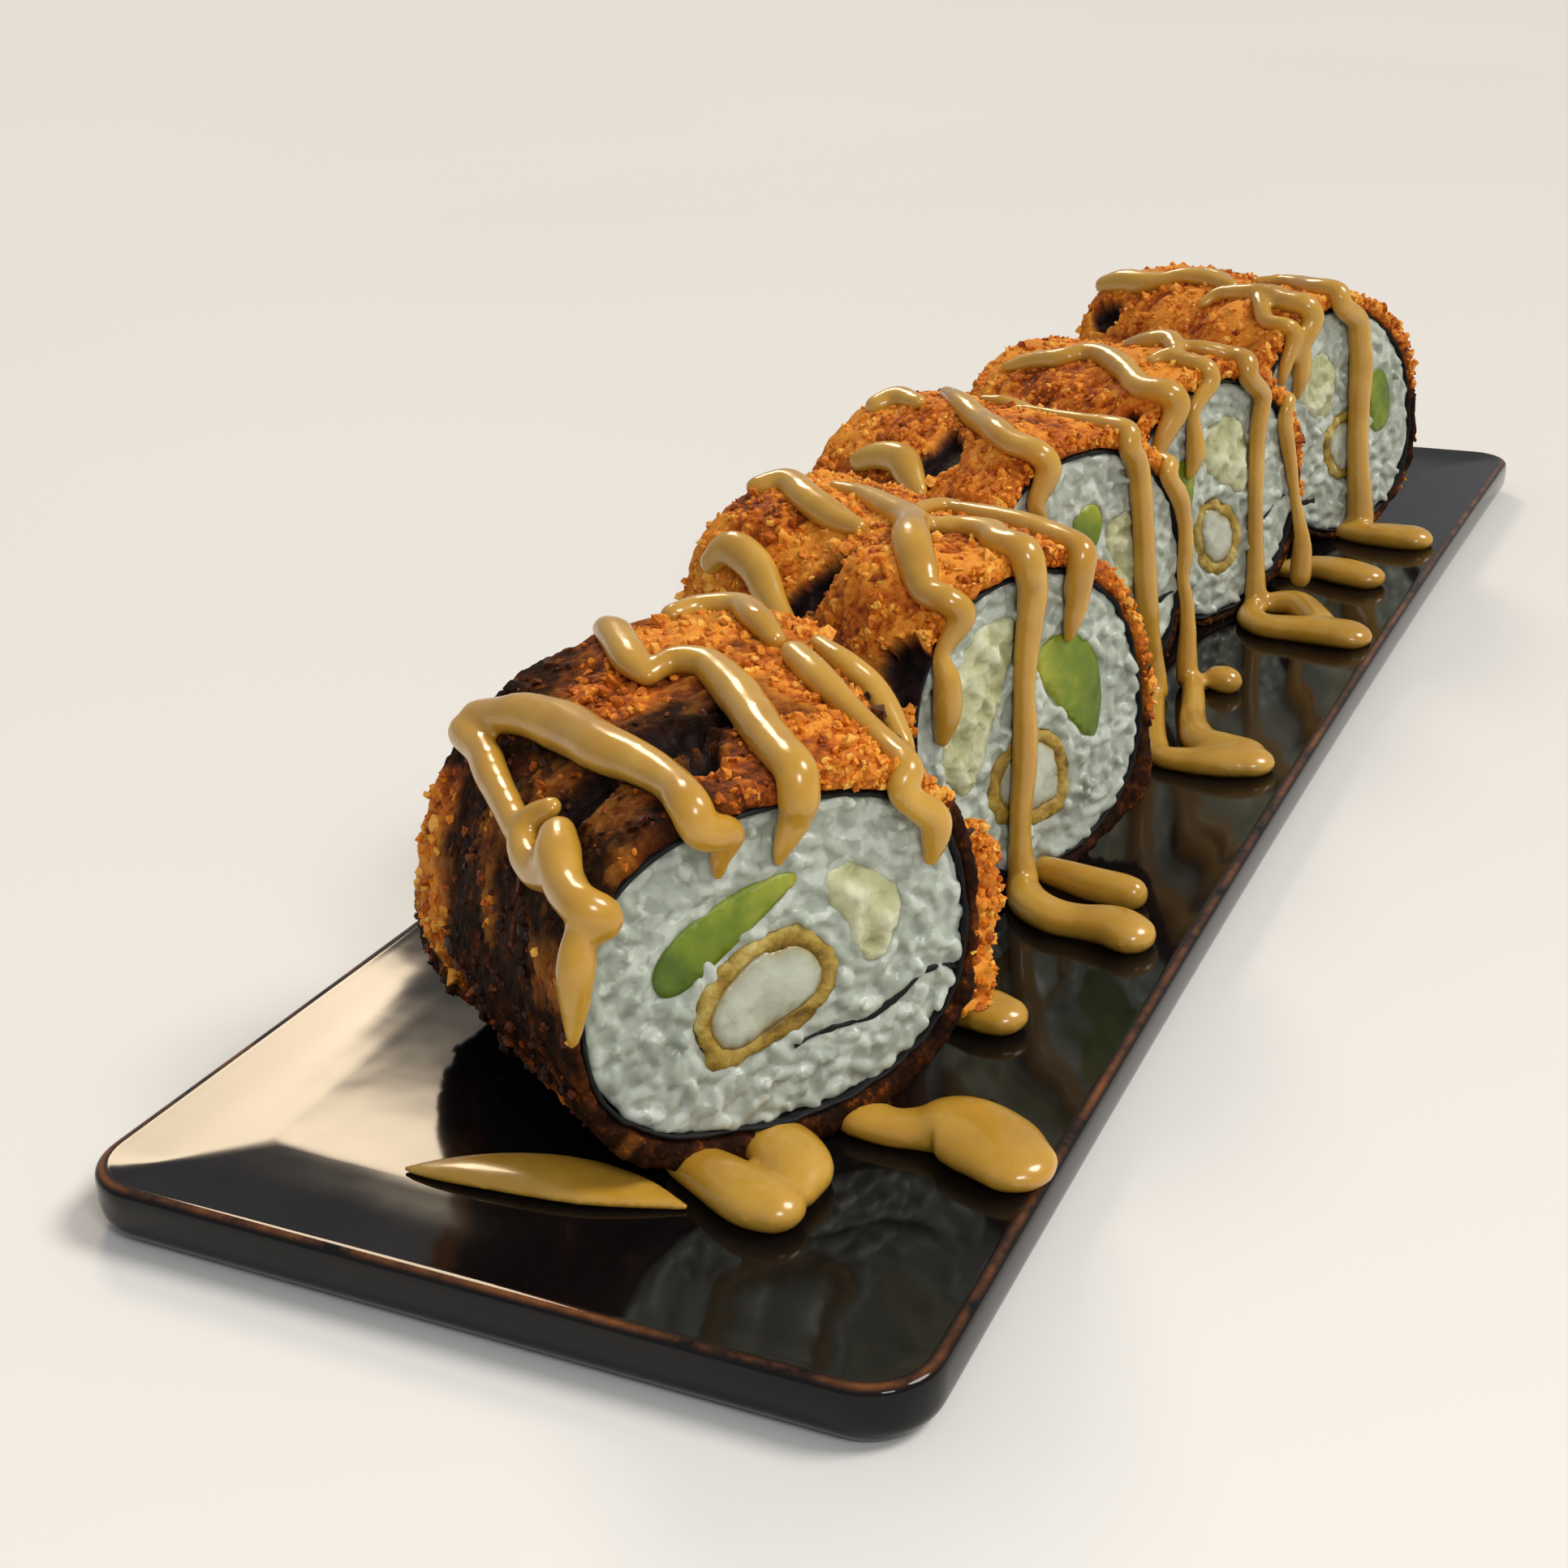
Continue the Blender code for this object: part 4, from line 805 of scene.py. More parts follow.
def floor_material():
    made, tree, shader = material("pale_floor")
    colour = ramp(tree, noise_node(tree, 3.0, 2.0, 0.4), ((0.3, (228, 226, 222)), (0.7, (230, 228, 224))))
    plug(tree, colour, shader.inputs["Base Color"])
    settle(shader, Roughness=0.85)
    return made


def make_materials():
    """All materials of the food, by the words that the pieces ask for."""
    avocado = ((0.0, (162, 164, 48)), (0.45, (110, 130, 8)), (1.0, (58, 88, 2)))
    cheese = ((0.0, (156, 158, 108)), (0.5, (186, 187, 142)), (1.0, (212, 213, 182)))
    shrimp = ((0.0, (150, 126, 70)), (0.3, (166, 160, 128)), (0.6, (170, 172, 150)), (1.0, (190, 194, 176)))
    batter = ((0.0, (104, 76, 14)), (0.4, (158, 126, 38)), (0.7, (176, 150, 66)), (1.0, (202, 186, 116)))
    return {
        "crust": crust_material(),
        "crumb": crumb_material(),
        "nori": nori_material(),
        "grain": rice_material("rice_grain", 0),
        # The rice core: the grains' colours made 14 darker, painted shade for rice seen deep between the grains
        "shaded_paste": rice_material("rice_paste_shaded", 14),
        "sauce": sauce_material(),
        "avocado": filling_material("avocado_flesh", avocado, 260.0, 0.42, 0.25, 700.0, 0.3),
        "cheese": filling_material("cream_cheese", cheese, 300.0, 0.42, 0.3, 700.0, 0.6),
        "shrimp": filling_material("shrimp_flesh", shrimp, 240.0, 0.28, 0.5, 420.0, 0.4),
        "batter": filling_material("fried_batter", batter, 520.0, 0.5, 0.2, 1100.0, 0.9),
    }


# Plate

def waist(y):
    """How far a long side has moved in at this place along the plate."""
    return PLATE_WAIST * np.maximum(1 - (2 * y / PLATE_LENGTH) ** 2, 0.0)


def plate_outline(inset):
    """The plate's outline as points, with round corners and long sides that curve in a little."""
    half_width = PLATE_WIDTH / 2 - inset
    half_length = PLATE_LENGTH / 2 - inset
    radius = max(PLATE_CORNER - inset, 2.0)
    angle = np.linspace(0, math.pi / 2, CORNER_STEPS + 1)
    quarter = np.stack([half_width - radius * (1 - np.cos(angle)),
                        half_length - radius * (1 - np.sin(angle))], -1)
    reach_x, reach_y = half_width - radius, half_length - radius
    end = np.linspace(reach_x, -reach_x, END_STEPS + 1)[1:-1]
    side = np.linspace(reach_y, -reach_y, SIDE_STEPS + 1)[1:-1]
    mirrored = quarter[::-1] * (-1, 1)
    loop = np.vstack([
        quarter, np.stack([end, np.full_like(end, half_length)], -1), mirrored,
        np.stack([np.full_like(side, -half_width), side], -1), -quarter,
        np.stack([-end, np.full_like(end, -half_length)], -1), -mirrored,
        np.stack([np.full_like(side, half_width), -side], -1),
    ])
    x, y = loop.T
    pull = waist(y) * np.minimum(np.abs(x) / half_width, 1.0) ** 3
    return np.stack([x - np.sign(x) * pull, y], -1)


def plate_top(x, y):
    """Height of the plate's upper side, from how near the point is to an edge."""
    inset = np.minimum(PLATE_WIDTH / 2 - waist(y) - np.abs(x), PLATE_LENGTH / 2 - np.abs(y))
    slope = PLATE_PROFILE[-4:]
    return np.interp(inset, [s[0] for s in slope], [s[1] for s in slope])


def make_plate():
    profile = [PLATE_PROFILE[0], *curve_through(PLATE_PROFILE[1:], 4)]
    outlines = [plate_outline(inset) for inset, _ in profile]
    count = len(outlines[0])
    points = np.vstack([np.column_stack([line, np.full(count, z)])
                        for line, (_, z) in zip(outlines, profile)])
    faces = grid_faces(len(profile), count).tolist() + end_faces(count, len(points))
    inset = np.repeat([p[0] for p in profile], count)
    # Where the brown-gold rim line goes, partly thin glaze and partly a painted reflection
    rim = np.exp(-((inset - RIM_INSET) / RIM_WIDTH) ** 2) * (points[:, 2] > RIM_ABOVE)
    make_piece("plate_glazed", points, faces, plate_material(), "plate", ("plate",), {"rim": rim})


# Crust

def round_ring(angle):
    """A circle about as large as a roll, to read noise along."""
    return np.stack([np.cos(angle) * 25, np.sin(angle) * 25, np.zeros_like(angle)], -1)


def crust_surface(roll, angle, depth, seed):
    """Points of the crust's outer side with its crags and crumbs, what colours them, and its thickness."""
    x, y = oval_xy(roll, angle, NORI + GAP)
    spots = place(roll, x, y, depth)
    gold = golden_share(roll, angle, depth, spots)
    bare = bare_share(roll, angle, depth, spots)
    far, own = cells(spots, CRUMB, seed)
    fine, _ = cells(spots, GRIT, seed + 20)
    big, _ = cells(spots, CRAG, seed + 40)
    crumbs = (0.75 - far) * (0.5 + own)
    relief = (gold * (0.8 * crumbs + 0.4 * (0.6 - fine) + 1.1 * (0.6 - big))
              + 1.25 * layered(spots, 7.5, 4, seed))
    relief = relief + (1 - gold) * (0.6 * (0.6 - far) + 0.45 * (0.6 - fine))
    thick = np.maximum(crust_thickness(roll, angle, depth) + 0.75 * relief, 0.55)
    thick = thick * (1 - bare) + 0.12 * bare
    x, y = oval_xy(roll, angle, NORI + 0.1 + thick)
    # Painted shade and highlight: this value rises with the crumbs and crags, so the crust is darker in its
    # hollows and lighter on its tops, with some mottling
    high = 0.42 + 0.5 * crumbs + 0.25 * (0.6 - fine) + 0.3 * relief + 0.6 * layered(spots, 9.0, 3, seed + 3)
    return place(roll, x, y, depth, "crust"), gold * (1 - bare), np.clip(high, 0.0, 1.0), bare, thick


def ragged_depths(roll, angles, depths, seed):
    """The depths with those near both cut ends moved in and out unevenly."""
    ragged = 0.9 * layered(round_ring(angles), 3.0, 3, seed)
    edge = smoothstep(4.0, 0.0, depths) - smoothstep(roll["length"] - 4.0, roll["length"], depths)
    return depths - edge * (0.25 + ragged)


def make_crust(name, roll, number, materials):
    """A rough tube round the seaweed whose two ends turn in to it."""
    around, along = DETAIL[name]["crust"]
    angle = full_turn(around)
    angles, depths = np.meshgrid(angle, np.linspace(0.0, roll["length"], along))
    depths = ragged_depths(roll, angles, depths, number * 7).ravel()
    outer, gold, high, bare, thick = crust_surface(roll, angles.ravel(), depths, number * 100)
    points = [outer]
    golds, shades_and_mottles, bares = [gold], [high], [bare]
    faces = [grid_faces(along, around)]
    ends = ((slice(-around, None), -1.0, (along - 1) * around), (slice(0, around), 1.0, 0))
    for end, (row, inwards, start) in enumerate(ends):
        rings = [start]
        for step, (share, drawn) in enumerate(LIP):
            x, y = oval_xy(roll, angle, NORI + 0.05 + thick[row] * share)
            depth = depths[row] + inwards * (drawn + 0.3 * layered(outer[row] + 7 * share, 1.2, 2, 3))
            points.append(place(roll, x, y, depth, "crust"))
            golds.append(gold[row])
            # Painted shade: the lip's colour darkens as it turns in towards the seaweed
            shades_and_mottles.append(high[row] * (0.7 + 0.3 * share))
            bares.append(bare[row])
            rings.append((along + end * len(LIP) + step) * around)
        for first, second in zip(rings, rings[1:]):
            quads = ring_faces(first, second, around)
            faces.append(quads[:, ::-1] if end else quads)
    values = {"gold": np.concatenate(golds), "high": np.concatenate(shades_and_mottles), "bare": np.concatenate(bares)}
    make_piece(name + "_crust_shell", np.vstack(points), np.vstack(faces), materials["crust"], "crust",
               (name + "_crust",), values)


def crumb_shape(rng):
    """A small angular body of its own form, as points and triangles."""
    ball = bmesh.new()
    bmesh.ops.create_icosphere(ball, subdivisions=1, radius=1.0)
    ball.verts.ensure_lookup_table()
    points = np.array([v.co[:] for v in ball.verts])
    faces = np.array([[v.index for v in f.verts] for f in ball.faces])
    ball.free()
    return points * rng.uniform(0.6, 1.3, (len(points), 1)), faces


def crumb_copies(rng, shape, places, size, longest, tone):
    """Copies of a crumb at the places, each with its own proportions and turn, and each point's tone."""
    count = len(places)
    sizes = size * rng.uniform(0.5, longest, (count, 3))
    points, faces = many(*shape, places, random_turns(rng, count), sizes)
    tones = np.clip(tone + rng.normal(0, 0.13, count), 0, 1)
    return points, faces, np.repeat(tones, len(shape[0]))


def make_crumbs(name, roll, number, materials):
    """Loose crumbs of breading that stand on the crust, most of them where it is golden."""
    rng = np.random.default_rng(500 + number)
    tries = DETAIL[name]["crumbs"]
    angle = rng.uniform(0, 2 * math.pi, tries)
    depth = rng.uniform(-0.3, roll["length"] + 0.3, tries)
    surface, gold, high, bare, _ = crust_surface(roll, angle, depth, number * 100)
    kept = rng.uniform(size=tries) < (0.16 + np.clip(gold * 1.1 - 0.35, 0, 0.84)) * (1 - bare)
    surface, high = surface[kept], np.where(gold < 0.3, -0.6, high)[kept]
    lip, lip_shade_and_mottle = lip_places(roll, number, DETAIL[name]["lip"], rng)
    surface, high = np.vstack([surface, lip]), np.concatenate([high, lip_shade_and_mottle])
    count = len(surface)
    size = rng.uniform(0.34, 0.8, count) * np.where(rng.uniform(size=count) < 0.16, 1.7, 1.0)
    parts, tones = [], []
    for start in range(4):
        shape = crumb_shape(rng)
        pick = slice(start, None, 4)
        # Painted shade and highlight: each crumb's tone follows how high the crust stands under it, with its
        # own random share; crumbs on brown crust stay dark
        points, faces, tone = crumb_copies(rng, shape, surface[pick], size[pick][:, None], 1.25,
                                           0.42 + 0.48 * high[pick])
        parts.append((points, faces))
        tones.append(tone)
    points, faces = joined(parts)
    make_piece(name + "_crumbs", points, faces, materials["crumb"], "crust", (name + "_crust",),
               {"tone": np.concatenate(tones)}, smooth=False)


def lip_places(roll, number, tries, rng):
    """Places for crumbs on the crust's rough lip round the cut face, and how high each stands, which paints its
    shade and highlight.
    """
    angle = rng.uniform(0, 2 * math.pi, tries)
    _, gold, high, bare, thick = crust_surface(roll, angle, rng.uniform(0.0, 1.2, tries), number * 100)
    kept = rng.uniform(size=tries) < np.clip(gold * 1.3 - 0.1, 0, 1) * (1 - bare)
    angle, high, thick = angle[kept], high[kept], thick[kept]
    x, y = oval_xy(roll, angle, NORI + 0.3 + thick * rng.uniform(0.15, 1.0, len(angle)))
    return place(roll, x, y, rng.uniform(-0.75, -0.2, len(angle)), "crust"), high


def make_flap(roll, materials):
    """The crumbed scrap that has come loose at the first roll's side."""
    spine = curve_through(FLAP, 12)
    angle = full_turn(FLAP_AROUND)
    rings = [place(roll, x + half * np.cos(angle), y, depth + 0.42 * half * np.sin(angle))
             for x, y, depth, half in spine]
    points = np.vstack(rings)
    out = points - np.repeat(np.array([ring.mean(0) for ring in rings]), FLAP_AROUND, axis=0)
    out /= np.linalg.norm(out, axis=1, keepdims=True)
    far, own = cells(points, 1.9, 900)
    fine, _ = cells(points, 0.9, 930)
    relief = 1.5 * (0.7 - far) * (0.5 + own) + 0.6 * (0.6 - fine) + 2.4 * layered(points, 4.5, 3, 77)
    points = points + out * relief[:, None]
    faces = grid_faces(len(rings), FLAP_AROUND).tolist() + end_faces(FLAP_AROUND, len(points))
    # Painted shade and highlight: lighter on the crags' tops and darker between them, with some mottling; its
    # crumbs take the same
    high = np.clip(0.5 + 0.6 * (0.7 - far) + 0.4 * layered(points, 4.0, 2, 3), 0, 1)
    values = {"gold": np.full(len(points), 0.98), "high": np.clip(high + 0.15, 0, 1),
              "bare": np.zeros(len(points))}
    make_piece("roll_1_crust_flap", points, faces, materials["crust"], "crust", ("roll_1_crust",), values)
    rng = np.random.default_rng(910)
    spots = rng.choice(len(points), FLAP_CRUMBS)
    shape = crumb_shape(rng)
    size = rng.uniform(0.35, 0.95, (FLAP_CRUMBS, 1))
    crumbs, faces, tone = crumb_copies(rng, shape, points[spots] + out[spots] * 0.1, size, 1.3,
                                       0.5 + 0.45 * high[spots])
    make_piece("roll_1_flap_crumbs", crumbs, faces, materials["crumb"], "crust", ("roll_1_crust",),
               {"tone": tone}, smooth=False)


# Seaweed

def swirl_path(roll, steps):
    """The line of the seaweed strip that turns into the roll."""
    return curve_through(roll["swirl"], steps)


def wrap_rings(roll, number):
    """Rings of the seaweed round the rice, from inside the front cut to inside the back one."""
    angle = full_turn(NORI_AROUND)
    wave = layered(round_ring(angle), 5.0, 4, 60 + number)
    rings = []
    for offset, depth in WRAP_SECTION:
        x, y = oval_xy(roll, angle, offset + 0.3 * wave)
        rings.append(place(roll, x, y, depth - (0.55 * wave + 0.2 if depth < 3 else 0), "nori"))
    for offset, inwards in reversed(WRAP_SECTION):
        x, y = oval_xy(roll, angle, offset + 0.3 * wave)
        rings.append(place(roll, x, y, roll["length"] - inwards + (0.4 * wave if inwards < 3 else 0), "nori"))
    return rings


def strip_lines(roll, number):
    """Lines along the seaweed strip, from inside the front cut to inside the back one."""
    path = swirl_path(roll, 8)
    along = np.gradient(path, axis=0)
    along /= np.linalg.norm(along, axis=1, keepdims=True)
    aside = np.stack([-along[:, 1], along[:, 0]], -1)
    rough = 0.8 * (value_noise(np.column_stack([path * 0.7, np.zeros(len(path))]), number) - 0.4)
    lines = []
    for back, section in enumerate((STRIP_SECTION, STRIP_SECTION[::-1])):
        for shift, depth in section:
            spot = path + aside * ((STRIP_HALF + rough) * shift)[:, None]
            lines.append(place(roll, spot[:, 0], spot[:, 1], roll["length"] - depth if back else depth))
    return lines


def make_nori(name, roll, number, materials):
    rings = wrap_rings(roll, number)
    lines = strip_lines(roll, number)
    wrap_faces = grid_faces(len(rings), NORI_AROUND)
    strip_faces = grid_faces(len(lines), len(lines[0]), len(rings) * NORI_AROUND, closed=False)
    make_piece(name + "_nori_sheet", np.vstack(rings + lines), np.vstack([wrap_faces, strip_faces]),
               materials["nori"], "nori", (name + "_nori",))


# Flat meshes on a cut face

def distance_to_line(points, line, closed=False):
    ends = np.vstack([line, line[:1]]) if closed else line
    best = np.full(len(points), 1e9)
    for a, b in zip(ends, ends[1:]):
        ab = b - a
        t = np.clip(((points - a) @ ab) / max(ab @ ab, 1e-9), 0, 1)
        best = np.minimum(best, np.linalg.norm(points - (a + t[:, None] * ab), axis=1))
    return best


def inside_loop(points, loop):
    x, y = points.T
    hit = np.zeros(len(points), bool)
    for (ax, ay), (bx, by) in zip(loop, np.roll(loop, -1, axis=0)):
        crosses = (ay > y) != (by > y)
        with np.errstate(divide="ignore", invalid="ignore"):
            hit ^= crosses & (x < ax + (y - ay) / (by - ay) * (bx - ax))
    return hit


def edges_used_once(triangles):
    """The boundary of a flat triangulation, each edge in its triangle's direction."""
    seen = {}
    for a, b, c in triangles:
        for edge in ((a, b), (b, c), (c, a)):
            key = tuple(sorted(edge))
            seen[key] = None if key in seen else edge
    return [edge for edge in seen.values() if edge]


def flat_mesh(loop, holes, spots):
    """A triangulation inside the loop and outside the holes that uses the spots."""
    flat = [Vector(p) for p in np.vstack([loop, *holes, spots])]
    edges = []
    start = 0
    for line in [loop, *holes]:
        count = len(line)
        edges += [(start + i, start + (i + 1) % count) for i in range(count)]
        start += count
    verts, _, triangles, _, _, _ = geometry.delaunay_2d_cdt(flat, edges, [], 0, 1e-6)
    verts = np.array([v[:] for v in verts])
    triangles = np.array(triangles)
    middle = verts[triangles].mean(1)
    keep = inside_loop(middle, loop)
    for hole in holes:
        keep &= ~inside_loop(middle, hole)
    return verts, triangles[keep].tolist()


def solid_between(verts, triangles):
    """Faces of the closed body between a front copy of a flat triangulation and a back copy."""
    count = len(verts)
    walls = [[b, a, a + count, b + count] for a, b in edges_used_once(triangles)]
    return triangles + [[i + count for i in face[::-1]] for face in triangles] + walls


# Fillings

def blob(spec, angle, inside=0.0):
    """A filling's outline: a long rounded form, more or less square, tapered and bent."""
    x, y, length, width, turn, bend, taper, squareness = spec
    length, width = length - 2 * inside, width - 2 * inside
    along = np.sign(np.cos(angle)) * np.abs(np.cos(angle)) ** squareness
    across = np.sign(np.sin(angle)) * np.abs(np.sin(angle)) ** squareness
    aside = width / 2 * across * (1 + taper * along) + bend * (along ** 2 - 0.5)
    along = along * length / 2
    turned = math.radians(turn)
    c, s = math.cos(turned), math.sin(turned)
    return np.stack([x + along * c - aside * s, y + along * s + aside * c], -1)


def ragged_loop(loop, spec, amount, number):
    """The outline with its points moved in and out from its middle."""
    away = loop - np.array(spec[:2])
    far = np.linalg.norm(away, axis=1, keepdims=True)
    jag = layered(np.column_stack([loop, np.full(len(loop), number * 3.0)]), 2.6, 3, 17)
    return loop + away / np.maximum(far, 0.5) * (amount * jag)[:, None]


def filling_spots(rng, spec, loops):
    """Scattered places inside the first loop and outside the others, clear of them all."""
    reach = max(spec[2], spec[3]) * 0.7
    count = int((2 * reach / FILLING_PITCH) ** 2)
    spots = np.array(spec[:2]) + rng.uniform(-reach, reach, (count, 2))
    fit = inside_loop(spots, loops[0])
    for loop in loops[1:]:
        fit &= ~inside_loop(spots, loop)
    for loop in loops:
        fit &= distance_to_line(spots, loop, True) > 0.25
    return spots[fit]


def filling_tone(kind, roll, spec, verts, lumps, dome):
    """What a filling's colour follows: across avocado, in from a shrimp's edge, and elsewhere its lumps."""
    if kind == "avocado":
        green_x, green_y = roll["green"]
        flow = green_x * (verts[:, 0] - spec[0]) + green_y * (verts[:, 1] - spec[1])
        return np.clip(0.5 + 0.5 * (flow / (0.5 * max(spec[2], spec[3]))) + 0.3 * lumps, 0, 1)
    # Partly painted shade: shrimp, cheese and batter are lighter where their lumps stand out and darker where
    # they sink, besides their own mottling
    if kind == "shrimp":
        return np.clip(dome + 0.5 * lumps, 0, 1)
    return np.clip(0.5 + 1.1 * lumps, 0, 1)


def make_filling(name, kind, roll, number, materials):
    """A filling seen at both cut ends, domed and uneven there, with a ragged outline."""
    rng = np.random.default_rng(len(kind) * 10 + number)
    spec = roll["batter" if kind == "shrimp" else kind]
    form = FILLINGS[kind]
    angle = full_turn(FILLING_AROUND)
    loops = [ragged_loop(blob(spec, angle, form["inside"]), spec, form["ragged"], number)]
    if kind == "batter":
        loops.append(ragged_loop(blob(spec, angle, BATTER_WALL), spec, BATTER_WALL_RAGGED, number))
    verts, triangles = flat_mesh(loops[0], loops[1:], filling_spots(rng, spec, loops))
    away = np.minimum.reduce([distance_to_line(verts, loop, True) for loop in loops])
    dome = 1 - np.exp(-away / form["edge"])
    ends, tones = [], []
    for end in (0, 1):
        lumps = layered(np.column_stack([verts, np.full(len(verts), number * 9.0 + 40 * end)]), 2.4, 4, 5)
        depth = 0.1 - (form["lift"] + form["lumps"] * lumps) * dome
        ends.append(place(roll, verts[:, 0], verts[:, 1], roll["length"] - depth if end else depth))
        tones.append(filling_tone(kind, roll, spec, verts, lumps, dome))
    make_piece(name + "_" + kind + "_piece", np.vstack(ends), solid_between(verts, triangles),
               materials[kind], kind, (name + "_" + kind,), {"tone": np.concatenate(tones)})


# Rice

def rice_clearance(roll, points):
    """How far each place on the cut face is from the nearest edge of the rice, negative outside it."""
    ring = np.stack(oval_xy(roll, full_turn(120), 0.0), -1)
    clear = distance_to_line(points, ring, True)
    clear = np.where(inside_loop(points, ring), clear, -clear)
    clear = np.minimum(clear, distance_to_line(points, swirl_path(roll, 4)) - 0.4)
    for kind in IN_RICE:
        loop = blob(roll[kind], full_turn(60))
        far = distance_to_line(points, loop, True)
        far = np.where(inside_loop(points, loop), -far, far)
        clear = np.minimum(clear, far + (0.7 if kind == "cheese" else 0.0))
    return clear


def grain_shape():
    """A grain of rice of half length 1, a little flat and a little bent, as points and triangles."""
    phi = np.linspace(0, math.pi, GRAIN_ROWS + 1)[1:-1]
    points = [[-1.0, 0.0, 0.0]]
    for p in phi:
        c, s = -math.cos(p), math.sin(p)
        r = s ** 0.8
        for t in full_turn(GRAIN_AROUND):
            points.append([np.sign(c) * abs(c) ** 0.92, r * math.cos(t), r * math.sin(t) * 0.86 + 0.1 * c * c])
    points.append([1.0, 0.0, 0.0])
    faces = []
    for k in range(GRAIN_AROUND):
        n = (k + 1) % GRAIN_AROUND
        faces.append([0, 1 + n, 1 + k])
        for row in range(len(phi) - 1):
            a, b = 1 + row * GRAIN_AROUND, 1 + (row + 1) * GRAIN_AROUND
            faces.append([a + k, a + n, b + n])
            faces.append([a + k, b + n, b + k])
        last = 1 + (len(phi) - 1) * GRAIN_AROUND
        faces.append([last + k, last + n, len(points) - 1])
    return np.array(points), np.array(faces)


def scatter(rng, roll, spacing, edge, tries):
    """Random places in the rice, a spacing apart and clear of its edges."""
    half_width, half_height = roll["face"]
    spots = np.stack([rng.uniform(-half, half, tries) for half in (half_width, half_height)], -1)
    spots = spots[rice_clearance(roll, spots) > edge]
    kept = []
    grid = {}
    for x, y in spots:
        column, row = int(x // spacing), int(y // spacing)
        near = [p for i in (-1, 0, 1) for j in (-1, 0, 1) for p in grid.get((column + i, row + j), ())]
        if all((x - px) ** 2 + (y - py) ** 2 > spacing ** 2 for px, py in near):
            grid.setdefault((column, row), []).append((x, y))
            kept.append((x, y))
    return np.array(kept)


def grain_layer(rng, roll, end, spacing, edge, sunk, spread):
    """A layer of grains at a cut end, which lie along the rice's edges where they are near one."""
    out, side = axes(roll)
    facing = -out if end else out
    spots = scatter(rng, roll, spacing, edge, GRAIN_TRIES)
    count = len(spots)
    depth = sunk + rng.normal(0, spread, count)
    centre = place(roll, spots[:, 0], spots[:, 1], roll["length"] - depth if end else depth, "rice")
    spin = rng.uniform(0, 2 * math.pi, count)
    tilt = np.where(rng.uniform(size=count) < 0.12, rng.uniform(0.6, 1.2, count), rng.normal(0, 0.15, count))
    clearance = rice_clearance(roll, spots)
    slope_x = rice_clearance(roll, spots + (0.3, 0)) - clearance
    slope_y = rice_clearance(roll, spots + (0, 0.3)) - clearance
    along_edge = np.arctan2(slope_x, -slope_y)
    spin = np.where(clearance < NEAR_EDGE, along_edge + rng.normal(0, 0.35, count), spin)
    tilt = np.where(clearance < NEAR_EDGE, tilt * 0.6, tilt)[:, None]
    flat = np.cos(spin)[:, None] * side + np.sin(spin)[:, None] * UP
    long_axis = flat * np.cos(tilt) + np.sin(tilt) * facing
    second = np.cross(np.broadcast_to(facing, long_axis.shape), long_axis)
    second /= np.maximum(np.linalg.norm(second, axis=1, keepdims=True), 1e-6)
    turns = np.stack([long_axis, second, np.cross(long_axis, second)], -1)
    sizes = np.stack([rng.uniform(*reach, count) for reach in (HALF_LENGTH, HALF_WIDTH, HALF_THICKNESS)], -1)
    return many(*grain_shape(), centre, turns, sizes)


def bed_part(roll, number, end, bed, bed_faces):
    """The bed of rice that the grains at a cut end stand in."""
    noise_at = np.column_stack([bed, np.full(len(bed), number * 5.0 + end)])
    top = BED_TOP + 0.45 * layered(noise_at, 2.6, 3, 8)
    depths = (top, np.full(len(bed), BED_BOTTOM))
    points = [place(roll, bed[:, 0], bed[:, 1], roll["length"] - d if end else d, "rice") for d in depths]
    return np.vstack(points), [face[::-1] for face in bed_faces] if end else bed_faces


def rice_bed(roll, rng):
    """The flat form of the rice as places and the faces of a body between two copies of them."""
    ring = np.stack(oval_xy(roll, full_turn(120), -0.05), -1)
    holes = [blob(roll[kind], full_turn(48), 0.3) for kind in IN_RICE]
    verts, triangles = flat_mesh(ring, holes, scatter(rng, roll, 1.25, 0.4, 5000))
    return verts, solid_between(verts, triangles)


def make_rice(name, roll, number, materials):
    """Grains pressed together at both ends of a roll, melted into a shared bed and each other, and a core."""
    rng = np.random.default_rng(40 + number)
    bed, bed_faces = rice_bed(roll, rng)
    ends = (("_rice_grains", DETAIL[name]["rice"]), ("_rice_back", BACK_VOXEL))
    for end, (word, voxel) in enumerate(ends):
        parts = [grain_layer(rng, roll, end, *layer) for layer in GRAIN_LAYERS[end]]
        parts.append(bed_part(roll, number, end, bed, bed_faces))
        piece = make_piece(name + word, *joined(parts), materials["grain"], "rice", (name + "_rice",))
        melt(piece, voxel, 1)
        keep_skin(piece, roll, end)
        tone_rice(piece)
    # The core is coloured with the darker rice, painted shade between the grains
    depths = (CORE_DEPTH, roll["length"] - CORE_DEPTH)
    points = [place(roll, bed[:, 0], bed[:, 1], depth, "rice") for depth in depths]
    make_piece(name + "_rice_core", np.vstack(points), bed_faces, materials["shaded_paste"], "rice",
               (name + "_rice",),
               {"tone": np.full(2 * len(bed), 0.45)})


def keep_skin(piece, roll, end):
    """Takes away the side of a melted bed of rice that faces into the roll."""
    points = mesh_points(piece.data)
    back = (np.array([*roll["at"], FLOOR]) - points) @ axes(roll)[0]
    back = roll["length"] - back if end else back - FACE_LEAN * (points[:, 2] - FLOOR - roll["centre"])
    skin = bmesh.new()
    skin.from_mesh(piece.data)
    skin.verts.ensure_lookup_table()
    inner = [skin.verts[i] for i in np.nonzero(back > BED_KEPT)[0]]
    bmesh.ops.delete(skin, geom=inner, context="VERTS")
    skin.to_mesh(piece.data)
    skin.free()


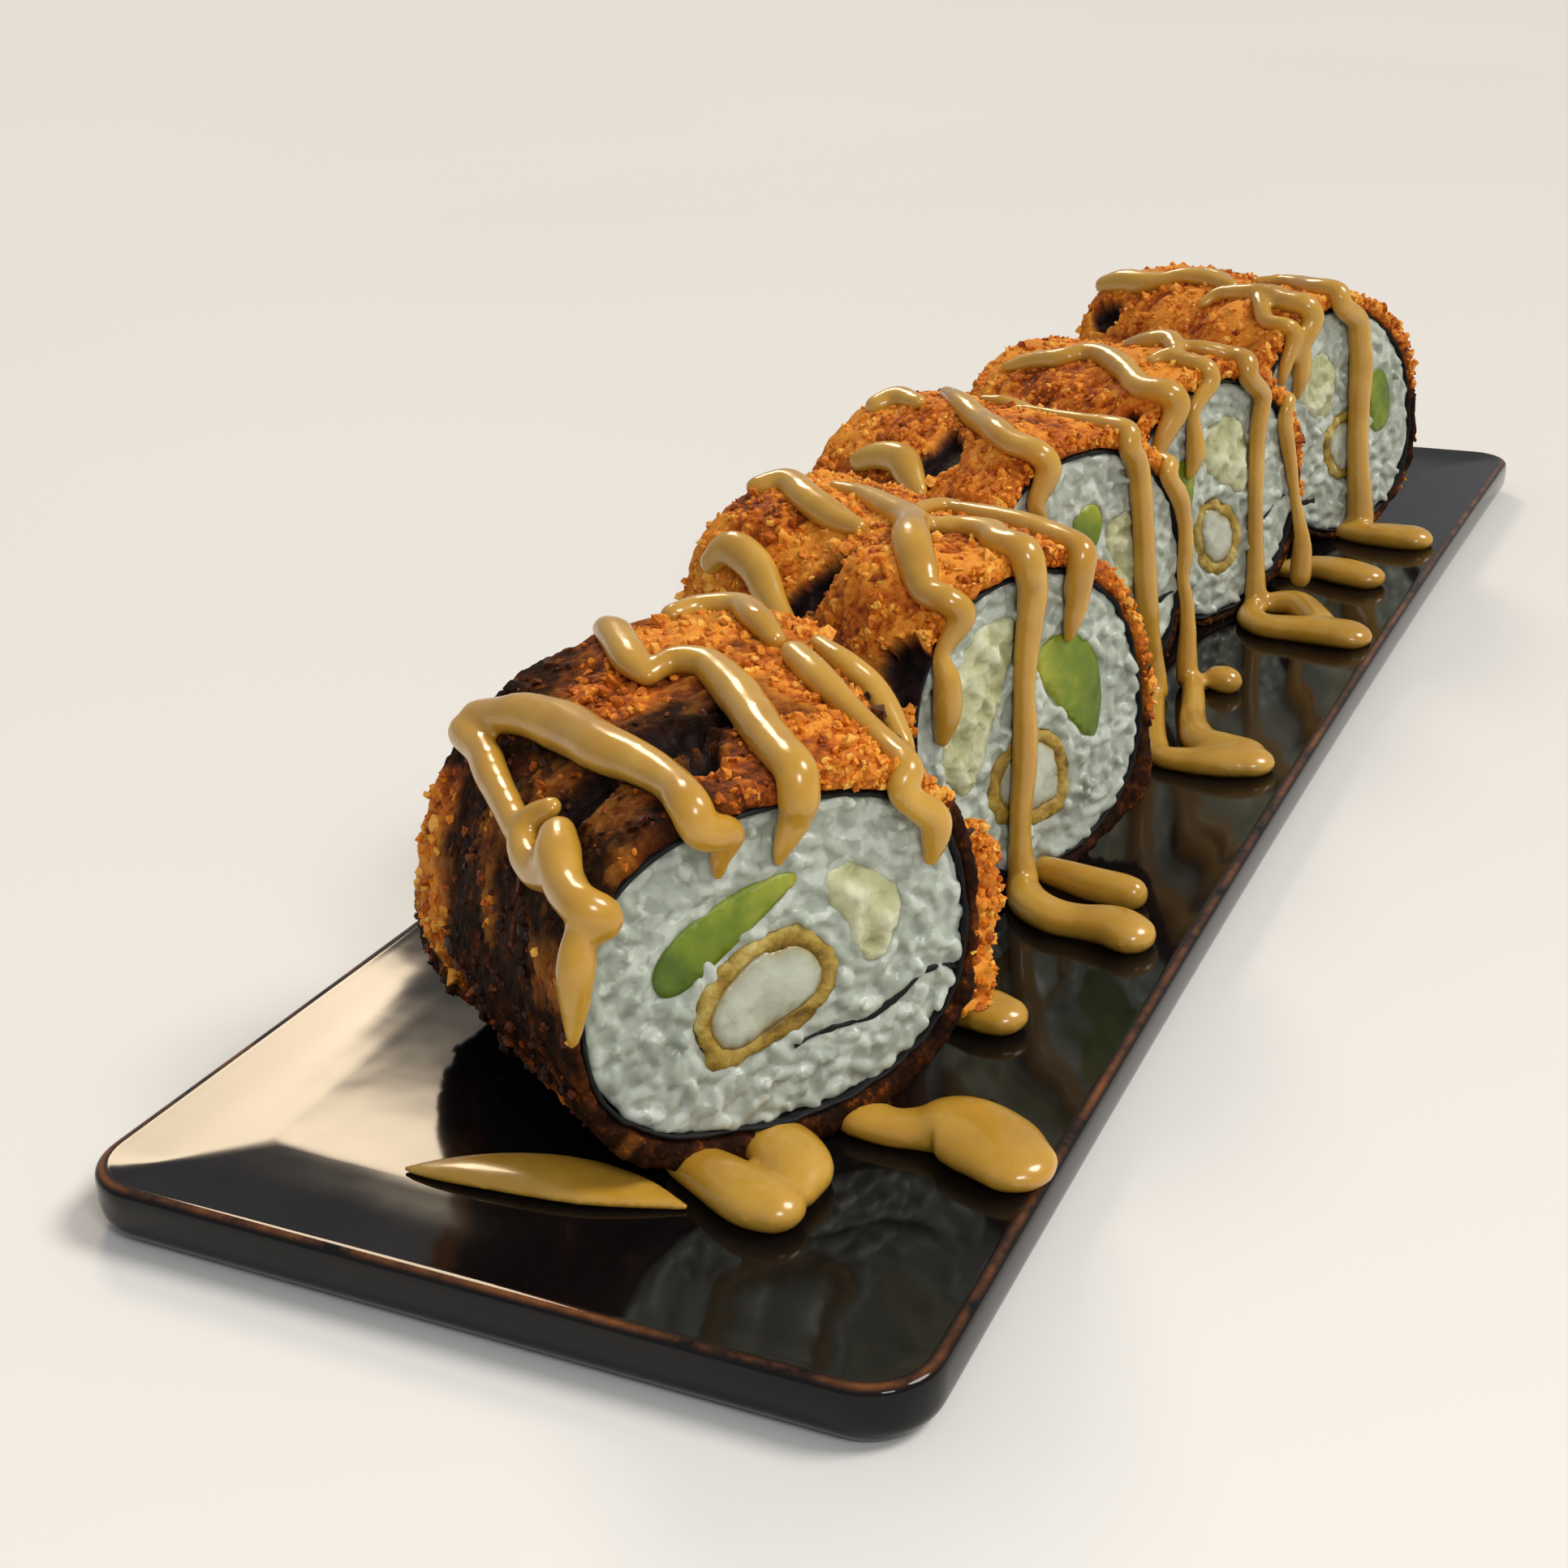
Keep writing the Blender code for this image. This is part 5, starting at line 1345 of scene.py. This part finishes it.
def tone_rice(piece):
    """Gives each grain's place a tone of its own, over a slow change across the face."""
    points = mesh_points(piece.data)
    _, own = cells(points, 1.9, 71)
    tone = np.clip(0.5 + 0.75 * (own - 0.5) + 0.4 * layered(points, 6.0, 3, 12), 0.0, 1.0)
    set_attribute(piece.data, "tone", tone)
    piece.data.shade_smooth()


# Sauce

def unit(rows):
    return rows / np.maximum(np.linalg.norm(rows, axis=1, keepdims=True), 1e-9)


def bead(points, normals, widths, height=0.43):
    """A rounded bead along a line, flattened against what it lies on, with round ends."""
    along = unit(np.gradient(points, axis=0))
    aside = unit(np.cross(along, normals))
    up = np.cross(aside, along)
    last = len(points) - 1
    rows = [(points[0] - along[0] * widths[0] / 2 * k, math.sqrt(1 - k * k), 0) for k in BEAD_ENDS]
    rows += [(points[i], 1.0, i) for i in range(len(points))]
    rows += [(points[last] + along[last] * widths[last] / 2 * k, math.sqrt(1 - k * k), last)
             for k in BEAD_ENDS[::-1]]
    angle = full_turn(BEAD_AROUND)
    across, upwards = np.cos(angle)[:, None], np.sin(angle)[:, None]
    rings = [centre + (across * aside[i] * widths[i] / 2 + upwards * up[i] * widths[i] * height) * share
             for centre, share, i in rows]
    verts = np.vstack(rings)
    return verts, grid_faces(len(rings), BEAD_AROUND).tolist() + end_faces(BEAD_AROUND, len(verts))


def at_each_ring(values):
    """A value for each point of a bead, from one for each point of its line."""
    ends = len(BEAD_ENDS)
    return np.repeat(np.concatenate([[values[0]] * ends, values, [values[-1]] * ends]), BEAD_AROUND)


def outward(roll, angle):
    """The direction straight out of the roll's round side."""
    side = axes(roll)[1]
    x, y = oval_xy(roll, angle, 0.0)
    half_width, half_height = roll["face"]
    direction = side * x / half_width ** 2 + UP * y / half_height ** 2
    return direction / np.linalg.norm(direction)


def strand_line(roll, over, down):
    """The middle line, outward direction and width of a strand over the crust and down the face."""
    out = axes(roll)[0]
    rows = []
    for degrees, depth, width in over:
        angle = math.radians(degrees)
        thick = float(crust_thickness(roll, angle, np.float64(depth)))
        x, y = oval_xy(roll, angle, NORI + 0.1 + thick + 0.2 * width)
        rows.append(np.concatenate([place(roll, x, y, depth), outward(roll, angle), [width]]))
    if down:
        angle = math.radians(over[-1][0])
        width = over[-1][2]
        thick = float(crust_thickness(roll, angle, np.float64(0.0)))
        edge = ((NORI + thick + 0.2 * width, -0.25 * width, 0.5), (NORI + 0.35 * thick, -0.48 * width, 1.5))
        for offset, depth, lean in edge:
            x, y = oval_xy(roll, angle, offset)
            direction = outward(roll, angle) + lean * out
            direction /= np.linalg.norm(direction)
            rows.append(np.concatenate([place(roll, x, y, depth), direction, [width]]))
        for x, y, width in down:
            rows.append(np.concatenate([place(roll, x, y, -0.34 * width - 0.2), out, [width]]))
    line = curve_through(np.array(rows), BEAD_STEPS)
    line[:, 3:6] /= np.linalg.norm(line[:, 3:6], axis=1, keepdims=True)
    return line


def strand(roll, number, over, down):
    line = strand_line(roll, over, down)
    swell = 1 + 0.14 * layered(line[:, :3], 6.0, 2, number)
    return bead(line[:, :3], line[:, 3:6], np.maximum(line[:, 6] * swell, 0.8))


def pool_finger(finger, height):
    """A low bead of sauce on the plate, as high as its width asks."""
    x, y, width = curve_through(finger, BEAD_STEPS).T
    width = np.maximum(width, 0.9)
    tall = height * (0.35 + 0.65 * width / width.max())
    level = plate_top(x, y) + 0.42 * tall
    verts, faces = bead(np.column_stack([x, y, level]), np.tile(UP, (len(x), 1)), width, 1.0)
    levels = at_each_ring(level)
    verts[:, 2] = levels + (verts[:, 2] - levels) * at_each_ring(0.58 * tall / width)
    return verts, faces


def make_sauce(name, roll, number, materials):
    """All the sauce of a roll, its strands and its pools flowing together in one body."""
    parts = [strand(roll, number, over, down) for over, down in STRANDS[name]]
    parts += [pool_finger(finger, height) for _, height, fingers in POOLS[name] for finger in fingers]
    nodes = [name + "_crust"] + [pool for pool, _, _ in POOLS[name]]
    piece = make_piece(name + "_sauce", *joined(parts), materials["sauce"], "sauce", nodes)
    melt(piece, DETAIL[name]["sauce"], SAUCE_EASE)


# Stage

def link(name, data):
    thing = bpy.data.objects.new(name, data)
    bpy.context.scene.collection.objects.link(thing)
    return thing


def make_floor():
    mesh = bpy.data.meshes.new("floor")
    corners = ((-1, -1), (1, -1), (1, 1), (-1, 1))
    mesh.from_pydata([(x * FLOOR_REACH, y * FLOOR_REACH, 0) for x, y in corners], [], [(0, 1, 2, 3)])
    mesh.materials.append(floor_material())
    link("floor", mesh)


def make_camera():
    """The photograph's camera, turned by its yaw, then down, then about its own line of sight."""
    down = math.cos(CAMERA_PITCH)
    forward = Vector((-math.sin(CAMERA_YAW) * down, math.cos(CAMERA_YAW) * down, -math.sin(CAMERA_PITCH)))
    level = Vector((math.cos(CAMERA_YAW), math.sin(CAMERA_YAW), 0.0))
    upright = level.cross(forward)
    right = level * math.cos(CAMERA_ROLL) + upright * math.sin(CAMERA_ROLL)
    above = upright * math.cos(CAMERA_ROLL) - level * math.sin(CAMERA_ROLL)
    camera = link("camera", bpy.data.cameras.new("camera"))
    camera.data.sensor_width = CAMERA_SENSOR
    camera.data.lens = CAMERA_LENS
    camera.data.clip_start = 0.01
    turn = Matrix((right, above, -forward)).transposed().to_4x4()
    camera.matrix_world = Matrix.Translation(Vector(CAMERA_AT)) @ turn
    bpy.context.scene.camera = camera


def shine(lamp, direction):
    lamp.rotation_euler = direction.to_track_quat("-Z", "Y").to_euler()


def make_lights():
    for name, azimuth, height, spread, strength, colour in SUNS:
        light = bpy.data.lights.new(name, "SUN")
        light.energy = strength
        light.angle = math.radians(spread)
        light.color = colour
        turn, rise = math.radians(azimuth), math.radians(height)
        towards = Vector((math.cos(turn) * math.cos(rise), math.sin(turn) * math.cos(rise), math.sin(rise)))
        shine(link(name, light), -towards)
    softbox = bpy.data.lights.new("softbox", "AREA")
    softbox.size = SOFTBOX_SIZE
    softbox.energy = SOFTBOX_POWER
    lamp = link("softbox", softbox)
    lamp.location = SOFTBOX_AT
    shine(lamp, Vector(SOFTBOX_AIM) - lamp.location)


def make_studio():
    world = bpy.data.worlds.new("studio")
    world.use_nodes = True
    settle(world.node_tree.nodes["Background"], Color=STUDIO_COLOUR, Strength=STUDIO_STRENGTH)
    bpy.context.scene.world = world
    bpy.context.scene.view_settings.view_transform = "Standard"


def main():
    materials = make_materials()
    make_floor()
    make_camera()
    make_lights()
    make_studio()
    make_plate()
    for number, (name, roll) in enumerate(ROLLS.items(), 1):
        make_crust(name, roll, number, materials)
        make_crumbs(name, roll, number, materials)
        make_nori(name, roll, number, materials)
        make_rice(name, roll, number, materials)
        for kind in FILLINGS:
            make_filling(name, kind, roll, number, materials)
        make_sauce(name, roll, number, materials)
    make_flap(ROLLS["roll_1"], materials)


main()
